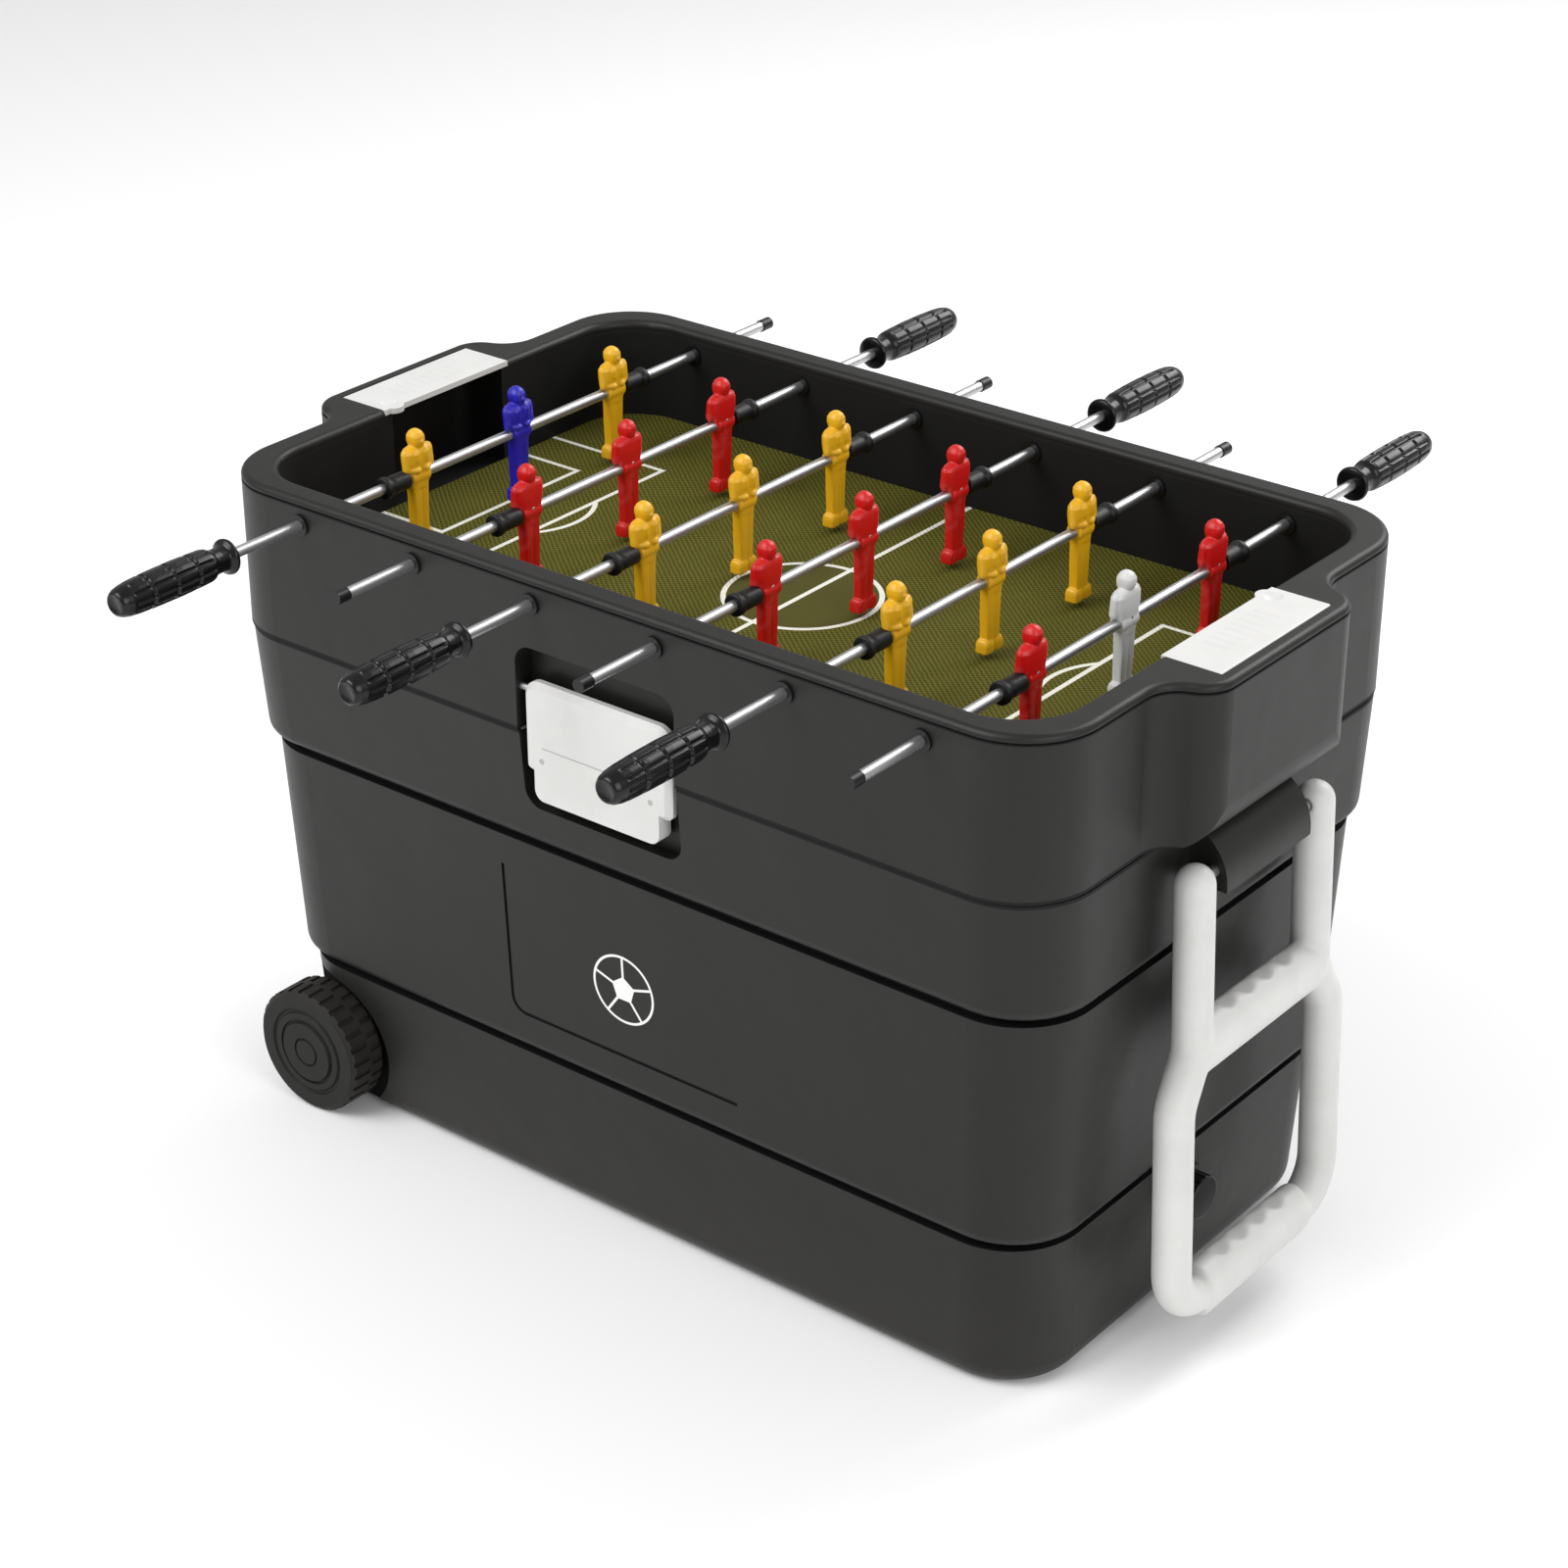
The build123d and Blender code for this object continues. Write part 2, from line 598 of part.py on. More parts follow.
# ---------------------------------------------------------------- wheels
def make_wheels():
    """Two treaded wheels on a fixed steel axle."""
    save("axle", rod_along_y(WHEEL_X, WHEEL_RADIUS, AXLE_RADIUS, -AXLE_REACH, AXLE_REACH))
    outline = [
        (ARCH_INNER + MOVING, 0),
        (ARCH_INNER + MOVING, WHEEL_HUB_RADIUS),
        (WHEEL_INNER, WHEEL_HUB_RADIUS),
        (WHEEL_INNER, WHEEL_RADIUS - WHEEL_EDGE),
        (WHEEL_INNER + WHEEL_EDGE, WHEEL_RADIUS),
        (WHEEL_FACE - WHEEL_EDGE, WHEEL_RADIUS),
    ]
    outline += [(WHEEL_FACE - behind, share * WHEEL_RADIUS) for share, behind in WHEEL_FACE_STEPS]
    outline.append((WHEEL_FACE, 0))
    for side, node in ((-1, "front_wheel"), (1, "back_wheel")):
        wheel = spin_along_y(side, outline)
        grooves = []
        for i in range(WHEEL_LUGS):
            for row in (0, 1):
                turn = Rot(0, 360 / WHEEL_LUGS * (i + row / 2), 0)
                y = side * (WHEEL_INNER + WHEEL_WIDTH * (0.2 + 0.5 * row))
                bar = Box(TREAD_WIDTH, WHEEL_WIDTH * 0.42, 2 * TREAD_DEPTH)
                grooves.append(turn * Pos(0, y, WHEEL_RADIUS) * bar)
        wheel -= grooves
        wheel -= rod_along_y(0, 0, AXLE_RADIUS + RUNNING, 0, side * (AXLE_REACH + MOVING))
        save(node, Pos(WHEEL_X, 0, WHEEL_RADIUS) * wheel)


# ---------------------------------------------------------------- tow handle
def hood_outline():
    """The hood over the handle pin, in the XZ plane."""
    shelf = HOOD_BACK + 2 * SHELL_WALL
    nose = HANDLE_PIN_X + HANDLE_RADIUS - SHELL_WALL
    brow = (HANDLE_PIN_X + SHELL_WALL, HANDLE_PIN_HEIGHT + HANDLE_RADIUS)
    chin = (nose, HOOD_BOTTOM + SHELL_WALL)
    edges = [
        Line((HOOD_BACK, HOOD_BOTTOM), (HOOD_BACK, HOOD_TOP)),
        Line((HOOD_BACK, HOOD_TOP), (shelf, HOOD_TOP)),
        Spline((shelf, HOOD_TOP), brow, chin, tangents=[(1, -0.3), (0, -1)]),
        Line(chin, (nose, HOOD_BOTTOM)),
        Line((nose, HOOD_BOTTOM), (HOOD_BACK, HOOD_BOTTOM)),
    ]
    return make_face(edges)


def bracket_envelope():
    """What the bracket takes out of the skin, so that it beds flat."""
    nose = CHEST_HALF_LENGTH + WALL_THICKNESS
    return box_between(HOOD_BACK, nose, -HOOD_HALF_WIDTH, HOOD_HALF_WIDTH, HOOD_BOTTOM, HOOD_TOP)


def handle_bracket():
    """The hooded block that carries the handle pin."""
    half = HOOD_HALF_WIDTH
    across = Plane((0, half, 0), x_dir=(1, 0, 0), z_dir=(0, -1, 0))
    block = extrude(across * hood_outline(), 2 * half)
    return block - rod_along_y(HANDLE_PIN_X, HANDLE_PIN_HEIGHT, HANDLE_PIN_RADIUS, -half, half)


def handle_frame():
    """The bent tube of the handle, upright, with its two cross bars."""
    elbow = HANDLE_BAR_HEIGHT - HANDLE_SHOULDER_DROP
    half = [
        (HANDLE_UPPER_HALF, HANDLE_PIN_HEIGHT),
        (HANDLE_UPPER_HALF, HANDLE_BAR_HEIGHT),
        (HANDLE_LOWER_HALF, elbow),
        (HANDLE_LOWER_HALF, HANDLE_FOOT_HEIGHT),
    ]
    points = [(HANDLE_PIN_X, y, z) for y, z in half]
    points += [(HANDLE_PIN_X, -y, z) for y, z in reversed(half)]
    path = FilletPolyline(*points, radius=HANDLE_BEND_RADIUS)
    start = Plane(points[0], z_dir=(0, 0, -1))
    frame = sweep(start * Circle(HANDLE_RADIUS), path=path)
    for side in (-1, 1):
        top = Pos(HANDLE_PIN_X, side * HANDLE_UPPER_HALF, HANDLE_PIN_HEIGHT)
        frame += top * Sphere(HANDLE_RADIUS)
    bar = Ellipse(HANDLE_BAR_HALF_DEPTH, HANDLE_BAR_HALF_HEIGHT)
    lower_half = HANDLE_LOWER_HALF - HANDLE_BEND_RADIUS
    for height, reach in (
        (HANDLE_BAR_HEIGHT, HANDLE_UPPER_HALF),
        (HANDLE_FOOT_HEIGHT, lower_half),
    ):
        across = Plane((HANDLE_PIN_X, 0, height), x_dir=(1, 0, 0), z_dir=(0, 1, 0))
        frame += extrude(across * bar, reach, both=True)
    return frame


def make_handle():
    """The two-grip tow handle, its pin and the hooded bracket."""
    save("handle_bracket", handle_bracket())
    pin_reach = HANDLE_UPPER_HALF + HANDLE_RADIUS / 2
    pin = rod_along_y(HANDLE_PIN_X, HANDLE_PIN_HEIGHT, HANDLE_PIN_RADIUS, -pin_reach, pin_reach)
    save("handle_pin", pin)

    frame = handle_frame()
    x0 = HANDLE_PIN_X - HANDLE_BAR_HALF_HEIGHT
    x1 = HANDLE_PIN_X + HANDLE_BAR_HALF_HEIGHT
    for height in (HANDLE_BAR_HEIGHT, HANDLE_FOOT_HEIGHT):
        z = height + HANDLE_BAR_HALF_HEIGHT + FINGER_RADIUS - FINGER_DEPTH
        for i in range(FINGER_COUNT):
            y = (i - (FINGER_COUNT - 1) / 2) * FINGER_PITCH
            frame -= rod_along_x(y, z, FINGER_RADIUS, x0, x1)
    reach = pin_reach + MOVING
    frame -= rod_along_y(
        HANDLE_PIN_X, HANDLE_PIN_HEIGHT, HANDLE_PIN_RADIUS + RUNNING, -reach, reach
    )
    pivot = Axis((HANDLE_PIN_X, 0, HANDLE_PIN_HEIGHT), (0, 1, 0))
    save("pull_handle", frame.rotate(pivot, -HANDLE_LEAN))


# ---------------------------------------------------------------- lid
def lid_outline(thinner):
    """Plan of the lid with its two goal bulges, every face stood in by one amount."""
    a = CHEST_HALF_LENGTH - thinner
    b = LID_HALF_WIDTH - thinner
    c = BULGE_REACH - thinner
    r = CORNER_RADIUS - thinner
    run = BULGE_ROOT_HALF - BULGE_FLAT_HALF
    bend = (BULGE_DEPTH * BULGE_DEPTH + run * run) / (4 * BULGE_DEPTH)
    crown = Vector(BULGE_REACH - bend, BULGE_FLAT_HALF)
    root = Vector(CHEST_HALF_LENGTH + bend, BULGE_ROOT_HALF)
    meet = crown + (root - crown).normalized() * (bend - thinner)
    quarter = [
        Line((c, 0), (c, BULGE_FLAT_HALF)),
        TangentArc((c, BULGE_FLAT_HALF), (meet.X, meet.Y), tangent=(0, 1)),
        TangentArc((a, BULGE_ROOT_HALF), (meet.X, meet.Y), tangent=(0, -1)),
        Line((a, BULGE_ROOT_HALF), (a, b - r)),
        TangentArc((a, b - r), (a - r, b), tangent=(0, 1)),
        Line((a - r, b), (0, b)),
    ]
    upper = quarter + [mirror(edge, Plane.YZ) for edge in quarter]
    whole = upper + [mirror(edge, Plane.XZ) for edge in upper]
    return make_face([edge.edge() for edge in whole])


def under_bulge(side, thinner):
    """What rounds off the lower edge of a goal bulge."""
    centre_x = BULGE_REACH - BULGE_BOTTOM_RADIUS
    centre_z = LID_BOTTOM + BULGE_BOTTOM_RADIUS
    ring = BULGE_BOTTOM_RADIUS - thinner
    far = BULGE_REACH + WALL_THICKNESS
    low = LID_BOTTOM - PAST
    outer = (centre_x + ring, centre_z)
    under = (centre_x, centre_z - ring)
    corners = [under, (centre_x, low), (far, low), (far, centre_z), outer]
    if thinner > 0:
        start = CHEST_HALF_LENGTH - thinner
        corners[1:2] = [(start, centre_z - ring), (start, low)]
    edges = [Line(a, b) for a, b in zip(corners, corners[1:])]
    edges.append(TangentArc(outer, under, tangent=(0, -1)))
    half = BULGE_ROOT_HALF + WALL_THICKNESS
    across = Plane((0, side * half, 0), x_dir=(side, 0, 0), z_dir=(0, -side, 0))
    return extrude(across * make_face(edges), 2 * half)


def goal_pocket(side, grow):
    """The open goal at one end of the field, from its floor up through the rim."""
    half = GOAL_HALF_WIDTH + grow
    inner = side * (FIELD_HALF_LENGTH - FIELD_CORNER_RADIUS)
    outer = side * (FIELD_HALF_LENGTH + GOAL_DEPTH + grow)
    block = box_between(inner, outer, -half, half, WELL_FLOOR - grow, RIM_HEIGHT + PAST)
    far = block.edges().filter_by(Axis.Z).group_by(Axis.X)[-1 if side > 0 else 0]
    return fillet(far, GOAL_CORNER + grow)


def cover_rebate(side):
    """The seat that lets the goal cover lie flush with the rim."""
    half = COVER_HALF_WIDTH + MOVING
    inner = side * (FIELD_HALF_LENGTH - FIELD_CORNER_RADIUS)
    outer = side * (FIELD_HALF_LENGTH + COVER_DEPTH + MOVING)
    bottom = RIM_HEIGHT - COVER_THICKNESS - MOVING
    return box_between(inner, outer, -half, half, bottom, RIM_HEIGHT + PAST)


def cover_ledge(side):
    """The solid band that the cover rests on and its pin runs in."""
    half = COVER_HALF_WIDTH + 2 * SHELL_WALL
    bottom = RIM_HEIGHT - COVER_THICKNESS - 2 * SHELL_WALL
    return box_between(
        side * FIELD_HALF_LENGTH, side * BULGE_REACH, -half, half, bottom, RIM_HEIGHT
    )


def hinge_seat(x, z0, z1):
    """A flat for one hinge leaf in the back wall."""
    half = 1.5 * KNUCKLE_LENGTH + SEAT
    y0 = CHEST_HALF_WIDTH - LEAF_THICKNESS - SEAT
    return box_between(x - half, x + half, y0, y0 + WALL_THICKNESS, z0, z1)


def lid_hinge_seats():
    """The flats for both lid leaves."""
    return [
        hinge_seat(side * HINGE_OFFSET, LID_BOTTOM, LID_BOTTOM + LEAF_HEIGHT) for side in (-1, 1)
    ]


def rim_groove():
    """The shadow line that runs round the lid just under its rim."""
    low = Plane.XY.offset(RIM_HEIGHT - RIM_GROOVE_DROP)
    ring = lid_outline(0) - lid_outline(RIM_GROOVE_DEPTH)
    return extrude(low * ring, RIM_GROOVE_WIDTH)


def lid_cuts():
    """Everything that is cut out of the lid moulding for the pieces fitted to it."""
    recess_reach = RECESS_HALF_WIDTH + SHELL_WALL
    pin_reach = COVER_HALF_WIDTH + SHELL_WALL + PAST
    cuts = [latch_recess(0)]
    cuts.append(
        rod_along_x(
            LATCH_PIN_Y,
            LATCH_PIN_HEIGHT,
            LATCH_PIN_RADIUS + RUNNING,
            -recess_reach,
            recess_reach,
        )
    )
    for side in (-1, 1):
        pin_x = side * COVER_PIN_X
        cuts.append(goal_pocket(side, 0))
        cuts.append(cover_rebate(side))
        cuts.append(
            rod_along_y(pin_x, COVER_PIN_Z, COVER_PIN_RADIUS + RUNNING, -pin_reach, pin_reach)
        )
    for x in ROD_X:
        reach = LID_HALF_WIDTH + PAST
        cuts.append(rod_along_y(x, ROD_HEIGHT, BUSHING_RADIUS + RUNNING, -reach, reach))
    return cuts + lid_hinge_seats()


def make_lid_shell():
    """The double-walled lid: rim, field well, goal bulges and latch recess in one moulding."""
    height = RIM_HEIGHT - LID_BOTTOM
    shell = extrude(Plane.XY.offset(LID_BOTTOM) * lid_outline(0), height)
    shell = fillet(shell.faces().sort_by(Axis.Z)[-1].edges(), RIM_EDGE_RADIUS)
    inside = extrude(Plane.XY.offset(LID_BOTTOM) * lid_outline(SHELL_WALL), height - SHELL_WALL)
    shell -= rim_groove()
    well_wall = [
        half + SHELL_WALL for half in (FIELD_HALF_LENGTH, FIELD_HALF_WIDTH, FIELD_CORNER_RADIUS)
    ]
    inside -= upright_block(WELL_FLOOR - SHELL_WALL, RIM_HEIGHT, *well_wall)
    inside -= latch_recess(SHELL_WALL)
    for side in (-1, 1):
        shell -= under_bulge(side, 0)
        inside -= under_bulge(side, SHELL_WALL)
        inside -= goal_pocket(side, SHELL_WALL)
        inside -= cover_ledge(side)
    shell -= upright_block(
        WELL_FLOOR, RIM_HEIGHT + PAST, FIELD_HALF_LENGTH, FIELD_HALF_WIDTH, FIELD_CORNER_RADIUS
    )
    rim = shell.faces().filter_by(GeomType.PLANE).sort_by(Axis.Z)[-1]
    shell = fillet(rim.inner_wires()[0].edges(), RIM_EDGE_RADIUS)
    shell -= inside
    for cut in lid_cuts():
        shell -= cut
    save("lid_shell", shell)


def make_lid_foam():
    """The insulation between the field floor and the lid liner."""
    slab = upright_block(
        PLUG_TOP,
        WELL_FLOOR - SHELL_WALL - SEAT,
        CHEST_HALF_LENGTH - 2 * SHELL_WALL,
        LID_HALF_WIDTH - 2 * SHELL_WALL,
        CORNER_RADIUS - 2 * SHELL_WALL,
    )
    slab -= latch_recess(SHELL_WALL + SEAT)
    for seat in lid_hinge_seats():
        slab -= seat
    pan = upright_block(
        PLUG_BOTTOM + LINER_WALL, PLUG_TOP, *plug_half(LINER_WALL + SEAT), PLUG_CORNER
    )
    save("lid_foam", slab + pan)


def plug_half(thinner):
    """Half length and half width of the plug that drops into the chest."""
    return [half - LINER_WALL - PLUG_GAP - thinner for half in LINER_HALF_TOP]


def make_lid_underside():
    """The liner that closes the lid, and the seal around it."""
    half_x = CHEST_HALF_LENGTH - SHELL_WALL
    half_y = LID_HALF_WIDTH - SHELL_WALL
    plate = upright_block(LINER_BOTTOM, PLUG_TOP, half_x, half_y, CORNER_RADIUS - SHELL_WALL)
    plate -= latch_recess(SHELL_WALL)
    for seat in lid_hinge_seats():
        plate -= seat
    plug = upright_block(PLUG_BOTTOM, PLUG_TOP, *plug_half(0), PLUG_CORNER)
    hollow = upright_block(
        PLUG_BOTTOM + LINER_WALL, PLUG_TOP + PAST, *plug_half(LINER_WALL), PLUG_CORNER
    )
    save("lid_liner", plate + plug - hollow)

    inner = plug_half(-LINER_WALL - PLUG_GAP)
    outer = [half + PLUG_GAP for half in inner]
    seal = upright_block(CHEST_TOP + MOVING, LINER_BOTTOM, *outer, LINER_CORNER + PLUG_GAP)
    seal -= upright_block(CHEST_TOP, LINER_BOTTOM + PAST, *inner, LINER_CORNER)
    save("lid_seal", seal)


def make_field():
    """The turf sheet on the field floor."""
    sizes = [half - SEAT for half in (FIELD_HALF_LENGTH, FIELD_HALF_WIDTH, FIELD_CORNER_RADIUS)]
    save("playfield", upright_block(WELL_FLOOR, FIELD_HEIGHT, *sizes))


def goal_cover(side):
    """One cover plate with its barrel, finger tab and thumb scoop, for the +X end."""
    half = COVER_HALF_WIDTH
    low = RIM_HEIGHT - COVER_THICKNESS
    tab_y = side * COVER_TAB_OFFSET
    tab_x = FIELD_HALF_LENGTH + COVER_TAB_RADIUS - COVER_TAB_REACH
    plate = box_between(FIELD_HALF_LENGTH, COVER_PIN_X, -half, half, low, RIM_HEIGHT)
    plate += rod_along_y(COVER_PIN_X, COVER_PIN_Z, COVER_THICKNESS / 2, -half, half)
    plate += Pos(tab_x, tab_y, COVER_PIN_Z) * Cylinder(COVER_TAB_RADIUS, COVER_THICKNESS)
    scoop_z = RIM_HEIGHT + COVER_SCOOP_RADIUS - COVER_SCOOP_DEPTH
    plate -= Pos(FIELD_HALF_LENGTH + COVER_TAB_RADIUS, tab_y, scoop_z) * Sphere(COVER_SCOOP_RADIUS)
    return plate - rod_along_y(COVER_PIN_X, COVER_PIN_Z, COVER_PIN_RADIUS + RUNNING, -half, half)


def make_goal_covers():
    """The two hinged covers over the goals, and their pins."""
    save("right_goal_cover", goal_cover(1))
    save("left_goal_cover", mirror(goal_cover(-1), Plane.YZ))
    reach = COVER_HALF_WIDTH + SHELL_WALL
    pins = [
        rod_along_y(side * COVER_PIN_X, COVER_PIN_Z, COVER_PIN_RADIUS, -reach, reach)
        for side in (-1, 1)
    ]
    save("cover_pins", joined(pins))


def bushing(x, side):
    """A flanged bush for one rod in one wall."""
    inner = side * FIELD_HALF_WIDTH
    outer = side * LID_HALF_WIDTH
    flange = side * BUSHING_FLANGE
    bush = rod_along_y(x, ROD_HEIGHT, BUSHING_RADIUS, inner, outer)
    bush += rod_along_y(x, ROD_HEIGHT, BUSHING_FLANGE_RADIUS, inner, inner - flange)
    bush += rod_along_y(x, ROD_HEIGHT, BUSHING_FLANGE_RADIUS, outer, outer + flange)
    bore = ROD_RADIUS + RUNNING
    return bush - rod_along_y(x, ROD_HEIGHT, bore, inner - 2 * flange, outer + 2 * flange)


def make_bushings():
    """A flanged bush in each wall for every rod."""
    save("rod_bushings", joined([bushing(x, side) for x in ROD_X for side in (-1, 1)]))


# ---------------------------------------------------------------- latch
def make_latch():
    """The swinging latch plate, its pin and the keeper it snaps over."""
    face = -LATCH_FACE
    back = face + LATCH_THICKNESS
    half = LATCH_HALF_WIDTH
    toe_half = LATCH_HALF_WIDTH - LATCH_TOE_SETBACK
    plate = box_between(-half, half, face, back, LATCH_STEP_HEIGHT, LATCH_TOP)
    plate = fillet(plate.edges().filter_by(Axis.Y).group_by(Axis.Z)[-1], LATCH_TOP_CORNER)
    plate = fillet(plate.edges().filter_by(Axis.Y).group_by(Axis.Z)[0], LATCH_STEP_CORNER)
    toe_top = LATCH_STEP_HEIGHT + LATCH_STEP_CORNER
    toe = box_between(-toe_half, toe_half, face, back, LATCH_BOTTOM, toe_top)
    toe = fillet(toe.edges().filter_by(Axis.Y).group_by(Axis.Z)[0], LATCH_TOE_CORNER)
    plate += toe
    plate = chamfer(plate.edges().filter_by(Axis.X).group_by(Axis.Z)[-1], LATCH_BEVEL)
    plate += rod_along_x(
        back + SEAT,
        LATCH_BOTTOM + LATCH_BEAD_RISE,
        LATCH_BEAD_RADIUS,
        -LATCH_BEAD_HALF,
        LATCH_BEAD_HALF,
    )
    bore = LATCH_PIN_RADIUS + RUNNING
    plate -= rod_along_x(LATCH_PIN_Y, LATCH_PIN_HEIGHT, bore, -half, half)
    save("latch", plate)

    reach = RECESS_HALF_WIDTH + SHELL_WALL - SEAT
    pin = rod_along_x(LATCH_PIN_Y, LATCH_PIN_HEIGHT, LATCH_PIN_RADIUS, -reach, reach)
    save("latch_pin", pin)
    keeper_bottom = LATCH_BOTTOM + LATCH_BEAD_RISE + KEEPER_RISE
    keeper = box_between(
        -KEEPER_HALF,
        KEEPER_HALF,
        -RECESS_FLOOR - KEEPER_DEPTH,
        -RECESS_FLOOR,
        keeper_bottom,
        keeper_bottom + KEEPER_HEIGHT,
    )
    save("latch_keeper", keeper)


# ---------------------------------------------------------------- lid hinges
def barrel(x, start, length, radius):
    """One barrel of a hinge, or the room for it, about the hinge line."""
    return rod_along_x(HINGE_PIN_Y, SEAM_HEIGHT, radius, x + start, x + start + length)


def leaf(x, z0, z1):
    """The flat of one leaf."""
    half = 1.5 * KNUCKLE_LENGTH
    back = CHEST_HALF_WIDTH - LEAF_THICKNESS
    return box_between(x - half, x + half, back, CHEST_HALF_WIDTH, z0, z1)


def web(x, start, length, z0, z1):
    """What joins a leaf to one of its barrels."""
    back = CHEST_HALF_WIDTH - LEAF_THICKNESS
    return box_between(x + start, x + start + length, back, HINGE_PIN_Y - KNUCKLE_WEB, z0, z1)


def hinge(x):
    """The chest's leaf, the lid's leaf and the pin of one hinge."""
    half = 1.5 * KNUCKLE_LENGTH
    gap = 2 * SEAT
    middle = KNUCKLE_LENGTH - 2 * gap
    reach = KNUCKLE_RADIUS + KNUCKLE_WEB
    room = KNUCKLE_RADIUS + MOVING
    low = leaf(x, CHEST_TOP - LEAF_HEIGHT + SEAT, CHEST_TOP - SEAT)
    high = leaf(x, LID_BOTTOM + SEAT, LID_BOTTOM + LEAF_HEIGHT - SEAT)
    high += barrel(x, -middle / 2, middle, KNUCKLE_RADIUS)
    high += web(x, -middle / 2, middle, LID_BOTTOM + SEAT, LID_BOTTOM + reach)
    for start in (-half, half - KNUCKLE_LENGTH):
        low += barrel(x, start, KNUCKLE_LENGTH, KNUCKLE_RADIUS)
        low += web(x, start, KNUCKLE_LENGTH, CHEST_TOP - reach, CHEST_TOP - SEAT)
        high -= barrel(x, start - gap, KNUCKLE_LENGTH + 2 * gap, room)
    low -= barrel(x, -middle / 2 - gap, middle + 2 * gap, room)
    pin_start = -half - HINGE_PIN_PROUD
    low -= barrel(x, pin_start, -2 * pin_start, HINGE_PIN_RADIUS)
    high -= barrel(x, pin_start, -2 * pin_start, HINGE_PIN_RADIUS + RUNNING)
    return low, high, barrel(x, pin_start, -2 * pin_start, HINGE_PIN_RADIUS)


def make_hinges():
    """Two butt hinges: leaves on the chest, leaves on the lid, and their pins."""
    pairs = [hinge(side * HINGE_OFFSET) for side in (-1, 1)]
    for i, node in enumerate(("hinge_body_leaves", "hinge_lid_leaves", "hinge_pins")):
        save(node, joined([pieces[i] for pieces in pairs]))


# ---------------------------------------------------------------- players
def section(height, depth, width, corner):
    """One level of a player's body."""
    return Plane.XY.offset(height) * RectangleRounded(depth, width, corner)


def player(facing):
    """One moulded player on the rod axis, legs down, chest towards facing along X."""
    body = loft([section(*level) for level in MAN_TORSO], ruled=True)
    half = MAN_BOSS_WIDTH / 2
    body += rod_along_y(0, 0, MAN_BOSS_RADIUS, -half, half)
    ankle_height = -MAN_DROP + MAN_FOOT[2] - MAN_FOOT_EDGE
    body += loft([section(ankle_height, *MAN_ANKLE), section(*MAN_WAIST)], ruled=True)
    foot = Pos(0, 0, -MAN_DROP + MAN_FOOT[2] / 2) * Box(*MAN_FOOT)
    body += fillet(foot.edges(), MAN_FOOT_EDGE)
    arms = Pos(facing * MAN_ARMS_PLACE[0], 0, MAN_ARMS_PLACE[1]) * Box(*MAN_ARMS)
    body += fillet(arms.edges(), MAN_ARMS_EDGE)
    body += Pos(0, 0, MAN_TORSO[-1][0]) * Cylinder(*MAN_NECK)
    body += Pos(0, 0, MAN_HEAD_HEIGHT) * Sphere(MAN_HEAD_RADIUS)
    return body - rod_along_y(0, 0, ROD_RADIUS, -MAN_BOSS_WIDTH, MAN_BOSS_WIDTH)


def grip(side):
    """The ribbed hand grip, on the end of the rod towards side along Y."""
    start = GRIP_START
    end = GRIP_START + GRIP_LENGTH
    outline = [
        (start, 0),
        (start, GRIP_RADIUS),
        (start + GRIP_FLANGE_LENGTH, GRIP_RADIUS),
        (start + 1.5 * GRIP_FLANGE_LENGTH, GRIP_NECK_RADIUS),
        (start + GRIP_NECK_END, GRIP_NECK_RADIUS),
        (start + GRIP_BODY_START, 0.95 * GRIP_RADIUS),
        (start + GRIP_BODY_MIDDLE, GRIP_RADIUS),
        (end - GRIP_ROUNDING, 0.93 * GRIP_RADIUS),
        (end - GRIP_ROUNDING / 4, 0.80 * GRIP_RADIUS),
        (end, GRIP_TIP_RADIUS),
        (end, 0),
    ]
    body = spin_along_y(side, outline)
    y = side * (start + GRIP_NECK_END + (GRIP_LENGTH - GRIP_NECK_END) / 2)
    flute = Box(GRIP_FLUTE_WIDTH, GRIP_FLUTE_LENGTH, 2 * GRIP_FLUTE_DEPTH)
    flutes = []
    for i in range(GRIP_FLUTES):
        turn = Rot(0, 360 / GRIP_FLUTES * i, 0)
        flutes.append(turn * Pos(0, y, GRIP_RADIUS) * flute)
    body -= flutes
    return body - rod_along_y(0, 0, ROD_RADIUS, 0, side * (start + GRIP_BORE_DEPTH))


def end_cap(side):
    """The cap on the free end of a rod."""
    tip = side * ROD_STUB_REACH
    mouth = tip - side * CAP_LENGTH
    cap = rod_along_y(0, 0, ROD_RADIUS + CAP_WALL, mouth, tip + side * CAP_END_WALL)
    return cap - rod_along_y(0, 0, ROD_RADIUS, mouth - side * PAST, tip)


def bumper(side):
    """The flanged sleeve that stops the rod against the wall."""
    bore = ROD_RADIUS + RUNNING
    sleeve = ROD_RADIUS + BUMPER_WALL
    flange = ROD_RADIUS + BUMPER_FLANGE_WALL
    flange_start = BUMPER_OUTER - BUMPER_FLANGE_LENGTH
    outline = [
        (BUMPER_INNER, bore),
        (BUMPER_INNER, 0.9 * sleeve),
        (flange_start - BUMPER_CONE_LENGTH, sleeve),
        (flange_start, flange),
        (BUMPER_OUTER, flange),
        (BUMPER_OUTER, bore),
    ]
    return spin_along_y(side, outline)


